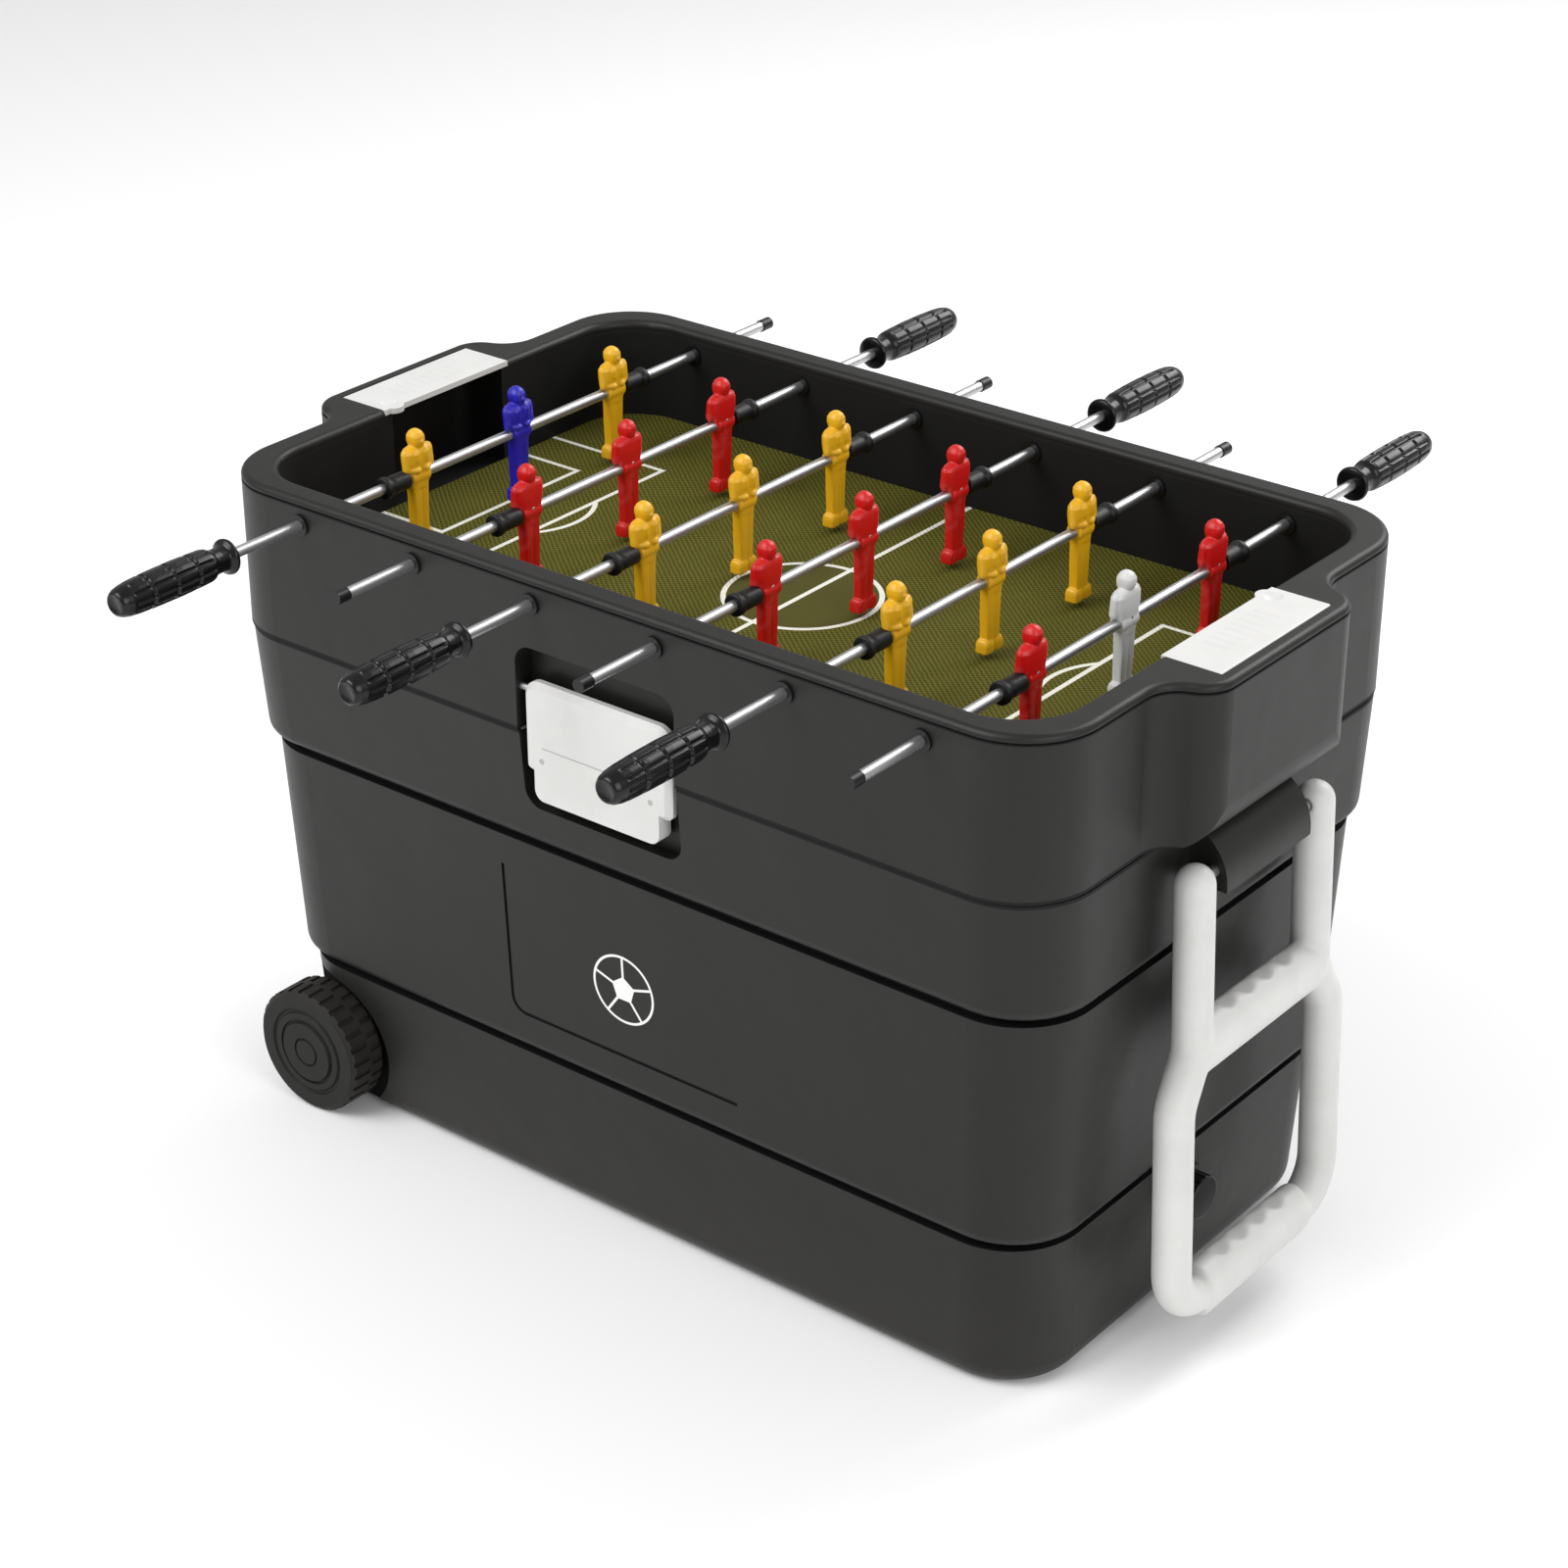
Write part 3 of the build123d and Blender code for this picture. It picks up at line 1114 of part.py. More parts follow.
def make_rods():
    """Six rods with their players, bumpers, grips and caps."""
    for i, x in enumerate(ROD_X):
        number = i + 1
        at = Pos(x, 0, ROD_HEIGHT)
        side = -1 if i % 2 == 0 else 1
        grip_end = side * (GRIP_START + GRIP_LENGTH / 2)
        save(f"rod_{number}", at * rod_along_y(0, 0, ROD_RADIUS, -side * ROD_STUB_REACH, grip_end))
        man = player(-side)
        keeper_here = i in (0, ROD_COUNT - 1)
        rows = (-1, 1) if keeper_here else (-1, 0, 1)
        save(f"men_{number}", joined([at * Pos(0, row * MEN_PITCH, 0) * man for row in rows]))
        if keeper_here:
            save("left_goalkeeper" if i == 0 else "right_goalkeeper", at * man)
        save(f"bumpers_{number}", joined([at * bumper(end) for end in (-1, 1)]))
        save(f"grip_{number}", at * grip(side))
        save(f"end_cap_{number}", at * end_cap(-side))


os.makedirs("parts", exist_ok=True)
make_chest()
make_drain()
make_wheels()
make_handle()
make_lid_shell()
make_lid_foam()
make_lid_underside()
make_field()
make_goal_covers()
make_bushings()
make_latch()
make_hinges()
make_rods()
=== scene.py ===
"""Looks of the foosball cooler chest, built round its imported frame. Metres, +Z up, -Y the front."""

import math

import bmesh
import bpy
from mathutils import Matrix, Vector


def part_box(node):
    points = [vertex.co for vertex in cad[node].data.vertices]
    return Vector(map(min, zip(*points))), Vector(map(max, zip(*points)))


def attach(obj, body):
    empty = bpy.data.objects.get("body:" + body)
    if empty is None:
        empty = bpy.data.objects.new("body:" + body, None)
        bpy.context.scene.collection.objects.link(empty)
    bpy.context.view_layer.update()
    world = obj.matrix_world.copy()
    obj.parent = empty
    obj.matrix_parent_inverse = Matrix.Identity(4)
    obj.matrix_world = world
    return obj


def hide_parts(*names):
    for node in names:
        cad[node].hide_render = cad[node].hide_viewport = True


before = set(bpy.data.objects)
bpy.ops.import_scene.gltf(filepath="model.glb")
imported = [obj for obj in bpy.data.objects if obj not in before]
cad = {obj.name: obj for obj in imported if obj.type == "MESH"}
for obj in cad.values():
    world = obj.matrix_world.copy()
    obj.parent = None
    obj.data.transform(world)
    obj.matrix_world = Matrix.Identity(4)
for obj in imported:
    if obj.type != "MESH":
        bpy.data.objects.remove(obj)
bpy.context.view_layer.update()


# ---------------------------------------------------------------- chest shell
# The outer skin of the chest is one moulding in dark charcoal polyethylene, with a fine sand
# grain from the mould. Handling leaves pale scuffs, and dust settles near the floor. A plain
# ball sign is printed in white in the corner panel of the front. Painted shade blackens its
# grooves, its engraved corner line and the insides of its wheel arches.
class Reading:
    """One output of a material's nodes. Sums and products of readings add Math nodes."""

    def __init__(self, finish, socket):
        self.finish = finish
        self.socket = socket

    def maths(self, operation, *others):
        """A Math node on this reading and the values that follow it."""
        values = dict(enumerate((self, *others)))
        return self.finish.node("Math", {"operation": operation}, values)

    def __add__(self, other):
        return self.maths("ADD", other)

    __radd__ = __add__

    def __sub__(self, other):
        return self.maths("SUBTRACT", other)

    def __rsub__(self, other):
        return self.finish.node("Math", {"operation": "SUBTRACT"}, {0: other, 1: self})

    def __mul__(self, other):
        return self.maths("MULTIPLY", other)

    __rmul__ = __mul__

    def __abs__(self):
        return self.maths("ABSOLUTE")

    def least(self, other):
        return self.maths("MINIMUM", other)

    def most(self, other):
        return self.maths("MAXIMUM", other)

    def length_with(self, other):
        """Distance from the origin to the point whose two coordinates these are."""
        return (self * self + other * other).maths("SQRT")

    def under(self, edge, blur):
        """1 where this is below an edge, 0 above it, with a soft step between."""
        sockets = {"Value": self, "From Min": edge - blur, "From Max": edge}
        sockets.update({"To Min": 1.0, "To Max": 0.0})
        return self.finish.node("MapRange", {"interpolation_type": "SMOOTHSTEP"}, sockets)


class Finish:
    """A procedural material in the making."""

    def __init__(self, name):
        self.material = bpy.data.materials.new(name)
        self.material.use_nodes = True
        self.tree = self.material.node_tree
        self.tree.nodes.clear()
        self.place = self.node("TexCoord", output="Object")

    def node(self, kind, settings=None, sockets=None, output=0):
        """Adds one node: its settings first, then its sockets. Hands back one of its outputs."""
        made = self.tree.nodes.new("ShaderNode" + kind)
        for name, value in (settings or {}).items():
            setattr(made, name, value)
        for name, value in (sockets or {}).items():
            if isinstance(name, int):
                socket = made.inputs[name]
            else:
                socket = next(s for s in made.inputs if s.name == name and s.enabled)
            if isinstance(value, Reading):
                self.tree.links.new(value.socket, socket)
            else:
                socket.default_value = value
        shown = [s for s in made.outputs if s.enabled]
        if not shown:
            return None
        return Reading(self, shown[output] if isinstance(output, int) else made.outputs[output])

    def noise(self, scale, detail=2.0, stretch=(1, 1, 1), roughness=0.5):
        """Cloudy variation from 0 to 1; scale is in cells per metre, stretched along an axis."""
        spread = self.node("VectorMath", {"operation": "MULTIPLY"}, {0: self.place, 1: stretch})
        sockets = {"Vector": spread, "Scale": scale, "Detail": detail, "Roughness": roughness}
        return self.node("TexNoise", None, sockets)

    def axes(self):
        """The three coordinates of the surface, in metres in the frame."""
        split = self.node("SeparateXYZ", None, {"Vector": self.place})
        outputs = split.socket.node.outputs
        return [Reading(self, outputs[axis]) for axis in "XYZ"]

    def mixed(self, factor, first, second):
        """A colour between two colours."""
        first, second = [c if isinstance(c, Reading) else (*c, 1.0) for c in (first, second)]
        sockets = {"Factor": factor, "A": first, "B": second}
        return self.node("Mix", {"data_type": "RGBA"}, sockets)

    def bump(self, height, depth, under=None):
        """A relief of a height reading, depth in metres, laid over another relief."""
        sockets = {"Height": height, "Distance": depth, "Strength": 1.0}
        if under is not None:
            sockets["Normal"] = under
        return self.node("Bump", None, sockets)

    def coat(self, colour, roughness, relief, **fixed):
        """Closes the material with its surface shader; fixed values sit on the shader itself."""
        sockets = {"Base Color": colour, "Roughness": roughness, "Normal": relief}
        sockets.update({name.replace("_", " "): value for name, value in fixed.items()})
        shader = self.node("BsdfPrincipled", None, sockets)
        self.node("OutputMaterial", None, {"Surface": shader})
        return self.material


def paint(material, *nodes):
    """Gives CAD nodes a material in place of their plain one."""
    for name in nodes:
        slots = cad[name].material_slots
        for slot in slots:
            slot.material = material
        if not slots:
            cad[name].data.materials.append(material)


CHARCOAL = (0.0085, 0.0082, 0.0073)
CHARCOAL_WORN = (0.020, 0.0193, 0.0177)
# The black below is painted shade, laid into grooves, seams, wheel arches and the field well.
PAINTED_SHADE_BLACK = (0.0012, 0.0012, 0.0011)
DUST = (0.075, 0.070, 0.060)
PRINT_WHITE = (0.82, 0.82, 0.80)
SIGN_X = 0.004
SIGN_Z = 0.208
SIGN_RADIUS = 0.026
SIGN_LINE = 0.0022
SIGN_PATCH = 0.0085
SIGN_FURTHEST_BACK = -0.1
SIGN_WHOLE_TURNS = 2
PRINT_EDGE = 0.0003
SEAM_Z = 0.390
# Grooves where shade is painted black, each given as (height, half width).
CHEST_SHADED_GROOVES = [(0.120, 0.0036), (0.299, 0.0036), (SEAM_Z, 0.0032)]
PANEL_LEFT = -0.101
PANEL_HEAD = 0.2722
PANEL_FOOT = 0.153
PANEL_CORNER = 0.012
PANEL_LINE_HALF = 0.0016
ARCH_X = -0.299
ARCH_Z = 0.049
ARCH_RADIUS = 0.0575
ARCH_INNER = 0.1750


def ball_sign(finish):
    """1 on a plain ball printed on the front: a ring, a five-sided patch and five seams."""
    x, y, z = finish.axes()
    across = x - SIGN_X
    up = z - SIGN_Z
    reach = across.length_with(up)
    fifth = 2 * math.pi / 5
    turn = across.maths("ARCTAN2", up) + SIGN_WHOLE_TURNS * 5 * fifth
    fold = turn.maths("PINGPONG", fifth / 2)
    ring = abs(reach - SIGN_RADIUS).under(SIGN_LINE / 2, PRINT_EDGE)
    patch = (reach * (fifth / 2 - fold).maths("COSINE")).under(SIGN_PATCH, PRINT_EDGE)
    seam = abs(reach * fold.maths("SINE")).under(SIGN_LINE / 2, PRINT_EDGE)
    seam = seam * reach.under(SIGN_RADIUS, PRINT_EDGE)
    front = (y - SIGN_FURTHEST_BACK).under(0.0, 0.001)
    return ring.most(patch).most(seam) * front


def painted_groove_shade(finish, levels):
    """1 in level grooves where shade is painted, each given as (height, half width)."""
    z = finish.axes()[2]
    lines = [abs(z - height).under(half, 0.0005) for height, half in levels]
    dark = lines[0]
    for line in lines[1:]:
        dark = dark.most(line)
    return dark


def chest_painted_shade(finish):
    """Painted shade: 1 in the chest's level grooves, in its engraved corner line and inside its wheel
    arches.
    """
    x, y, z = finish.axes()
    # Painted shade along the engraved corner line of the front panel.
    left = (PANEL_LEFT + PANEL_CORNER - x).most(0.0)
    below = (PANEL_FOOT + PANEL_CORNER - z).most(0.0)
    line = abs(left.length_with(below) - PANEL_CORNER).under(PANEL_LINE_HALF, 0.0004)
    line = line * x.under(-PANEL_LEFT, 0.001) * z.under(PANEL_HEAD, 0.001)
    line = line * y.under(0.0, 0.001)
    # Painted shade inside the wheel arches.
    arch = (x - ARCH_X).length_with(z - ARCH_Z).under(ARCH_RADIUS, 0.0005)
    arch = arch * (ARCH_INNER - abs(y)).under(0.0, 0.0005)
    return painted_groove_shade(finish, CHEST_SHADED_GROOVES).most(line).most(arch)


def charcoal_plastic(name, dark=None, printed=False):
    """Satin charcoal moulding; dark gives the painted shade, laid on in black, and the sign is on it
    or not.
    """
    finish = Finish(name)
    z = finish.axes()[2]
    grain = finish.noise(1100, 3.0, roughness=0.65)
    cloud = finish.noise(7, 4.0)
    scratch = finish.noise(60, 5.0, stretch=(0.35, 0.35, 9.0), roughness=0.7)
    scuff = (1 - scratch.under(0.72, 0.10)) * (1 - cloud.under(0.58, 0.2))
    dust = z.under(0.10, 0.10) * finish.noise(40, 5.0, roughness=0.7)
    colour = finish.mixed(scuff * 0.35, CHARCOAL, CHARCOAL_WORN)
    colour = finish.mixed(cloud * 0.25, colour, CHARCOAL_WORN)
    colour = finish.mixed(dust * 0.16, colour, DUST)
    rough = 0.34 + 0.12 * cloud + 0.08 * grain + 0.12 * scuff
    if dark:
        painted_shade = dark(finish)
        # Painted shade: the colour goes black in the grooves, seams and hollows.
        colour = finish.mixed(painted_shade, colour, PAINTED_SHADE_BLACK)
        rough = rough + 0.3 * painted_shade
    if printed:
        ink = ball_sign(finish) * (0.9 + 0.1 * grain)
        colour = finish.mixed(ink, colour, PRINT_WHITE)
        rough = rough + 0.12 * ink
    relief = finish.bump(finish.noise(18, 2.0), 0.0012)
    relief = finish.bump(grain, 0.00009, relief)
    return finish.coat(colour, rough, relief, IOR=1.5, Specular_IOR_Level=0.30)


paint(charcoal_plastic("charcoal_shell", chest_painted_shade, printed=True), "body_shell")
paint(charcoal_plastic("charcoal_hood"), "handle_bracket")


def placed(name, data, place=(0, 0, 0), turned_round=False):
    """Puts a mesh, lamp or camera in the scene, turned half round about Z or not."""
    piece = bpy.data.objects.new(name, data)
    bpy.context.scene.collection.objects.link(piece)
    piece.location = place
    piece.rotation_euler = (0, 0, math.pi if turned_round else 0)
    return piece

# ---------------------------------------------------------------- chest lining and foam
# The tub inside is white polypropylene with a light gloss, pressed in over rigid foam that was
# poured between it and the skin. The foam is cream and full of fine cells.
LINING = (0.74, 0.75, 0.74)
LINING_GREY = (0.60, 0.61, 0.60)
FOAM = (0.80, 0.74, 0.56)
FOAM_DARK = (0.58, 0.50, 0.33)


def white_lining():
    """Glossy white liner plastic with faint stains and draw marks."""
    finish = Finish("liner_plastic")
    cloud = finish.noise(11, 5.0, roughness=0.6)
    draw = finish.noise(90, 3.0, stretch=(1, 1, 0.05))
    grain = finish.noise(700, 2.0)
    colour = finish.mixed(cloud * 0.35, LINING, LINING_GREY)
    rough = 0.26 + 0.14 * cloud + 0.05 * draw
    relief = finish.bump(draw, 0.0001, finish.bump(grain, 0.00005))
    return finish.coat(colour, rough, relief, Subsurface_Weight=0.04, Subsurface_Scale=0.004)


def cream_foam():
    """Rigid poured foam with open cells."""
    finish = Finish("foam")
    cells = finish.node("TexVoronoi", None, {"Vector": finish.place, "Scale": 520.0})
    cloud = finish.noise(14, 4.0)
    colour = finish.mixed(cells.maths("POWER", 0.6) * 0.7, FOAM_DARK, FOAM)
    colour = finish.mixed(cloud * 0.3, colour, FOAM)
    relief = finish.bump(cells, 0.0005)
    return finish.coat(colour, 0.85 + 0.1 * cloud, relief)


lining = white_lining()
paint(lining, "chest_liner", "lid_liner")
foam = cream_foam()
paint(foam, "chest_foam", "lid_foam")

# ---------------------------------------------------------------- base pads, axle and wheels
# Two thin rubber pads are pressed into the base under the handle end. A steel axle crosses the
# other end, and on it turn two solid wheels in charcoal rubber compound with lugged treads.
WHEEL_GREY = (0.0085, 0.0083, 0.0076)
WHEEL_DUSTY = (0.024, 0.022, 0.019)
PAD_BLACK = (0.0040, 0.0040, 0.0040)
PIN_STEEL = (0.50, 0.50, 0.51)
PIN_DULL = (0.26, 0.25, 0.25)
TURNED_MARKS = 5200


def wheel_rubber(wheel):
    """Rubber with ground-in dust on the tread and turned marks on the face."""
    low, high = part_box(wheel)
    centre = (low + high) / 2
    tread = (high.z - low.z) / 2
    finish = Finish(wheel + "_rubber")
    x, _, z = finish.axes()
    reach = (x - centre.x).length_with(z - centre.z)
    cloud = finish.noise(30, 5.0, roughness=0.7)
    grain = finish.noise(900, 3.0)
    marks = (reach * TURNED_MARKS).maths("SINE")
    dusty = (1 - reach.under(tread, 0.006)) * cloud + 0.18 * cloud
    colour = finish.mixed(dusty, WHEEL_GREY, WHEEL_DUSTY)
    rough = 0.50 + 0.14 * cloud + 0.16 * dusty
    relief = finish.bump(marks, 0.00003, finish.bump(grain, 0.0001))
    return finish.coat(colour, rough, relief, Specular_IOR_Level=0.25)


def black_rubber(name, tone, shine):
    """Black rubber with a chalky bloom in patches."""
    finish = Finish(name)
    cloud = finish.noise(60, 4.0, roughness=0.65)
    grain = finish.noise(1500, 2.0)
    bloom = tuple(2.2 * part + 0.002 for part in tone)
    colour = finish.mixed(cloud * 0.2, tone, bloom)
    rough = shine + 0.10 * cloud + 0.04 * grain
    return finish.coat(colour, rough, finish.bump(grain, 0.00004), Specular_IOR_Level=0.32)


def pin_steel():
    """Zinc-plated steel with turning lines and duller patches."""
    finish = Finish("pin_steel")
    lines = finish.noise(900, 2.0, stretch=(1, 0.04, 1))
    cloud = finish.noise(120, 4.0)
    colour = finish.mixed(cloud * 0.6, PIN_STEEL, PIN_DULL)
    rough = 0.30 + 0.22 * cloud + 0.08 * lines
    return finish.coat(colour, rough, finish.bump(lines, 0.00002), Metallic=1.0)


for wheel in ("front_wheel", "back_wheel"):
    paint(wheel_rubber(wheel), wheel)
stop_rubber = black_rubber("stop_rubber", PAD_BLACK, 0.38)
paint(stop_rubber, "base_pads")
plated = pin_steel()
paint(plated, "axle")

# ---------------------------------------------------------------- drain
# A black nylon tube runs through the wall at the handle end, with a flange outside and a
# knurled screw cap on it. Both are injection moulded.
NYLON_BLACK = (0.0035, 0.0035, 0.0036)
nylon = black_rubber("nylon", NYLON_BLACK, 0.28)
paint(nylon, "drain_fitting", "drain_cap")

# ---------------------------------------------------------------- tow handle
# The handle is one blow-moulded loop of white plastic with two hand bars, scalloped for the
# fingers. It swings on a steel pin that is pressed through the charcoal hood on the chest.
WHITE = (0.62, 0.62, 0.605)
WHITE_GREYED = (0.50, 0.495, 0.48)
WHITE_DEPTH = {"Subsurface_Weight": 0.05, "Subsurface_Scale": 0.003}
HANDLE_SMALLEST = 0.0012
HANDLE_ROUNDS = 22


def white_plastic(name, rise):
    """Satin white plastic, greyed where it is handled, over a gentle relief of its own."""
    finish = Finish(name)
    cloud = finish.noise(26, 5.0, roughness=0.62)
    grain = finish.noise(1300, 2.0)
    handled = (1 - cloud.under(0.62, 0.22)) * 0.22
    colour = finish.mixed(handled, WHITE, WHITE_GREYED)
    colour = finish.mixed(grain * 0.06, colour, WHITE_GREYED)
    rough = 0.34 + 0.18 * cloud + 0.05 * grain
    relief = finish.bump(finish.noise(55, 1.0), rise)
    relief = finish.bump(grain, 0.00005, relief)
    return finish, colour, rough, relief


def softened(name, data, smallest, rounds, kept=1.0):
    """The same form with its sharp joins run together, and only a share of its faces kept."""
    rough_form = placed(name, data)
    remesh = rough_form.modifiers.new("remesh", "REMESH")
    remesh.mode = "VOXEL"
    remesh.voxel_size = smallest
    smooth = rough_form.modifiers.new("smooth", "SMOOTH")
    smooth.factor = 0.5
    smooth.iterations = rounds
    if kept < 1:
        rough_form.modifiers.new("thin", "DECIMATE").ratio = kept
    bpy.context.view_layer.update()
    graph = bpy.context.evaluated_depsgraph_get()
    mesh = bpy.data.meshes.new_from_object(rough_form.evaluated_get(graph))
    bpy.data.objects.remove(rough_form)
    mesh.name = name
    for face in mesh.polygons:
        face.use_smooth = True
    return mesh


finish, colour, rough, relief = white_plastic("handle_white", 0.0003)
handle_white = finish.coat(colour, rough, relief, **WHITE_DEPTH)
paint(handle_white, "pull_handle")
paint(plated, "handle_pin")
loop_shape = softened("handle_loop", cad["pull_handle"].data, HANDLE_SMALLEST, HANDLE_ROUNDS)
loop = placed("tow_handle", loop_shape)
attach(loop, "handle")
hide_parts("pull_handle")

# ---------------------------------------------------------------- hinges and latch keeper
# Two steel butt hinges join lid and chest at the back, plated and left bare. The keeper under
# the latch is a small white block welded into the recess.
paint(plated, "hinge_body_leaves", "hinge_lid_leaves", "hinge_pins")
paint(handle_white, "latch_keeper")

# ---------------------------------------------------------------- lid shell
# The lid is a second charcoal moulding: a deep tray with a rounded rim, a goal bulge at each
# end and the field well inside. It has the same grain as the chest, and painted shade
# blackens the well walls, the seam and a line under the rim.
# Lines where shade is painted: the seam, and a painted shadow under the rim.
LID_SHADED_GROOVES = [(SEAM_Z, 0.0032), (0.4988, 0.0013)]
GOAL_DEPTH = 0.0450
GOAL_HALF = 0.0595
WELL_TOP = 0.5005
WELL_MARGIN = 0.0022
UNDER_TURF = 0.004


def lid_painted_shade(finish):
    """Painted shade: 1 in the lid's level grooves and on the walls of the field well, below the rim.
    """
    low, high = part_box("playfield")
    x, y, z = finish.axes()
    field = (abs(x) - high.x).most(abs(y) - high.y)
    goal = (abs(x) - high.x - GOAL_DEPTH).most(abs(y) - GOAL_HALF)
    # Painted shade on the walls of the field well, where they stand in shadow.
    inside = field.least(goal).under(WELL_MARGIN, 0.001) * z.under(WELL_TOP, 0.006)
    inside = inside * (z - low.z + UNDER_TURF).maths("GREATER_THAN", 0.0)
    return painted_groove_shade(finish, LID_SHADED_GROOVES).most(inside)


paint(charcoal_plastic("charcoal_lid", lid_painted_shade), "lid_shell")

# ---------------------------------------------------------------- lid seal
# A grey foam-rubber gasket is glued round the plug of the lid liner. It presses on the tub
# when the lid is shut.
SEAL_GREY = (0.05, 0.05, 0.052)
paint(black_rubber("seal_rubber", SEAL_GREY, 0.55), "lid_seal")

# ---------------------------------------------------------------- playing field
# The field is a sheet of olive woven turf, with its lines screen printed in white. The weave
# shows as rows of small tufts; the centre circle is sheared flatter and looks darker.
TURF_TUFT = (0.150, 0.140, 0.018)
TURF_GAP = (0.018, 0.018, 0.002)
TURF_FLAT = (0.074, 0.071, 0.015)
TURF_SUNNED = (0.14, 0.130, 0.020)
LINE_WHITE = (0.80, 0.80, 0.72)
TUFT_ACROSS = 0.0042
TUFT_ALONG = 0.0052
TUFT_WANDER = 1.6
LINE_HALF = 0.0022
LINE_EDGE = 0.0006
CIRCLE_RADIUS = 0.055
AREA_DEPTH = 0.109
AREA_HALF = 0.113
GOAL_AREA_DEPTH = 0.059
GOAL_AREA_HALF = 0.0735
ARC_DEPTH = 0.0685
ARC_RADIUS = 0.0546


def woven_turf():
    """Woven turf with printed lines measured from the ends of the field."""
    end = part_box("playfield")[1].x
    finish = Finish("turf")
    x, y, _ = finish.axes()
    across = abs(x)
    spot = x.length_with(y)
    jitter = finish.noise(160, 3.0)
    row = (y * (2 * math.pi / TUFT_ACROSS) + TUFT_WANDER * jitter).maths("SINE")
    step = (x * (2 * math.pi / TUFT_ALONG) + TUFT_WANDER * jitter).maths("SINE")
    tuft = 0.5 + 0.5 * (row * step)
    fibre = finish.noise(1500, 3.0, stretch=(1, 0.3, 1), roughness=0.7)
    cloud = finish.noise(9, 4.0)
    flat = spot.under(CIRCLE_RADIUS, 0.002)
    weave = tuft * (1 - 0.75 * flat)
    colour = finish.mixed(weave * (0.65 + 0.6 * fibre), TURF_GAP, TURF_TUFT)
    colour = finish.mixed(flat * 0.8, colour, TURF_FLAT)
    colour = finish.mixed(cloud * 0.16, colour, TURF_SUNNED)
    area = abs((end - AREA_DEPTH - across).most(abs(y) - AREA_HALF))
    goal_area = abs((end - GOAL_AREA_DEPTH - across).most(abs(y) - GOAL_AREA_HALF))
    arc = abs((across - (end - ARC_DEPTH)).length_with(y) - ARC_RADIUS)
    arc = arc + (1 - across.under(end - AREA_DEPTH, 0.0005))
    nearest = across.least(abs(spot - CIRCLE_RADIUS)).least(area).least(goal_area).least(arc)
    worn = 1 - 0.22 * fibre * tuft
    line = nearest.under(LINE_HALF, LINE_EDGE) * worn
    colour = finish.mixed(line, colour, LINE_WHITE)
    rough = 0.88 - 0.22 * line
    relief = finish.bump(weave * 0.8 + fibre * 0.35 + line * 0.25, 0.0007)
    return finish.coat(colour, rough, relief, Specular_IOR_Level=0.15)


paint(woven_turf(), "playfield")

# ---------------------------------------------------------------- goal covers
# Each goal is closed from above by a flush white plate that hinges on a thin steel pin at its
# outer edge. A tab and a thumb scoop lift it; low ribs stiffen the plate.
RIB_PITCH = 0.0085
RIBS_HALF_LENGTH = 0.036
RIBS_HALF_WIDTH = 0.011


def ribbed_cover(node):
    """White plate with faint cross ribs moulded near its middle."""
    low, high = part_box(node)
    middle = (low + high) / 2
    finish, colour, rough, relief = white_plastic(node + "_white", 0.0002)
    x, y, _ = finish.axes()
    rib = ((y - middle.y) * (2 * math.pi / RIB_PITCH)).maths("SINE")
    patch = abs(y - middle.y).under(RIBS_HALF_LENGTH, 0.004)
    patch = patch * abs(x - middle.x).under(RIBS_HALF_WIDTH, 0.003)
    mark = patch * rib.maths("GREATER_THAN", 0.55)
    colour = finish.mixed(mark * 0.10, colour, WHITE_GREYED)
    relief = finish.bump(mark, 0.00025, relief)
    return finish.coat(colour, rough, relief, **WHITE_DEPTH)


for cover in ("left_goal_cover", "right_goal_cover"):
    paint(ribbed_cover(cover), cover)
paint(plated, "cover_pins")

# ---------------------------------------------------------------- rod bushings
# Every rod runs in two flanged nylon bushes pressed into the long walls of the lid. They are
# moulded in the same black as the drain.
paint(nylon, "rod_bushings")

# ---------------------------------------------------------------- latch
# The latch is a white moulded plate that hangs in its recess from a steel pin. An engraved
# line crosses it above two small round ejector marks.
ENGRAVED_Z = 0.383
ENGRAVED_HALF = 0.047
ENGRAVED_LINE = 0.0005
EJECTOR_X = 0.047
EJECTOR_Z = 0.373
EJECTOR_RADIUS = 0.0022
EJECTOR_GREY = (0.34, 0.34, 0.33)


def latch_white():
    """White plate with its line and its two marks."""
    finish, colour, rough, relief = white_plastic("latch_white", 0.0002)
    x, _, z = finish.axes()
    line = abs(z - ENGRAVED_Z).under(ENGRAVED_LINE, 0.0003)
    line = line * abs(x).under(ENGRAVED_HALF, 0.001)
    spot = (abs(x) - EJECTOR_X).length_with(z - EJECTOR_Z).under(EJECTOR_RADIUS, 0.0006)
    mark = line * 0.55 + spot
    colour = finish.mixed(mark * 0.8, colour, EJECTOR_GREY)
    relief = finish.bump(1 - line.most(spot), 0.0006, relief)
    return finish.coat(colour, rough, relief, **WHITE_DEPTH)


paint(latch_white(), "latch")
paint(plated, "latch_pin")

# ---------------------------------------------------------------- rods
# Six ground steel rods cross the field, plated and brushed along their length to a soft shine,
# with a little dulling in patches. Players, grips and end caps are fixed on them.
ROD_BRIGHT = (0.56, 0.56, 0.57)
ROD_SHADE = (0.34, 0.34, 0.35)


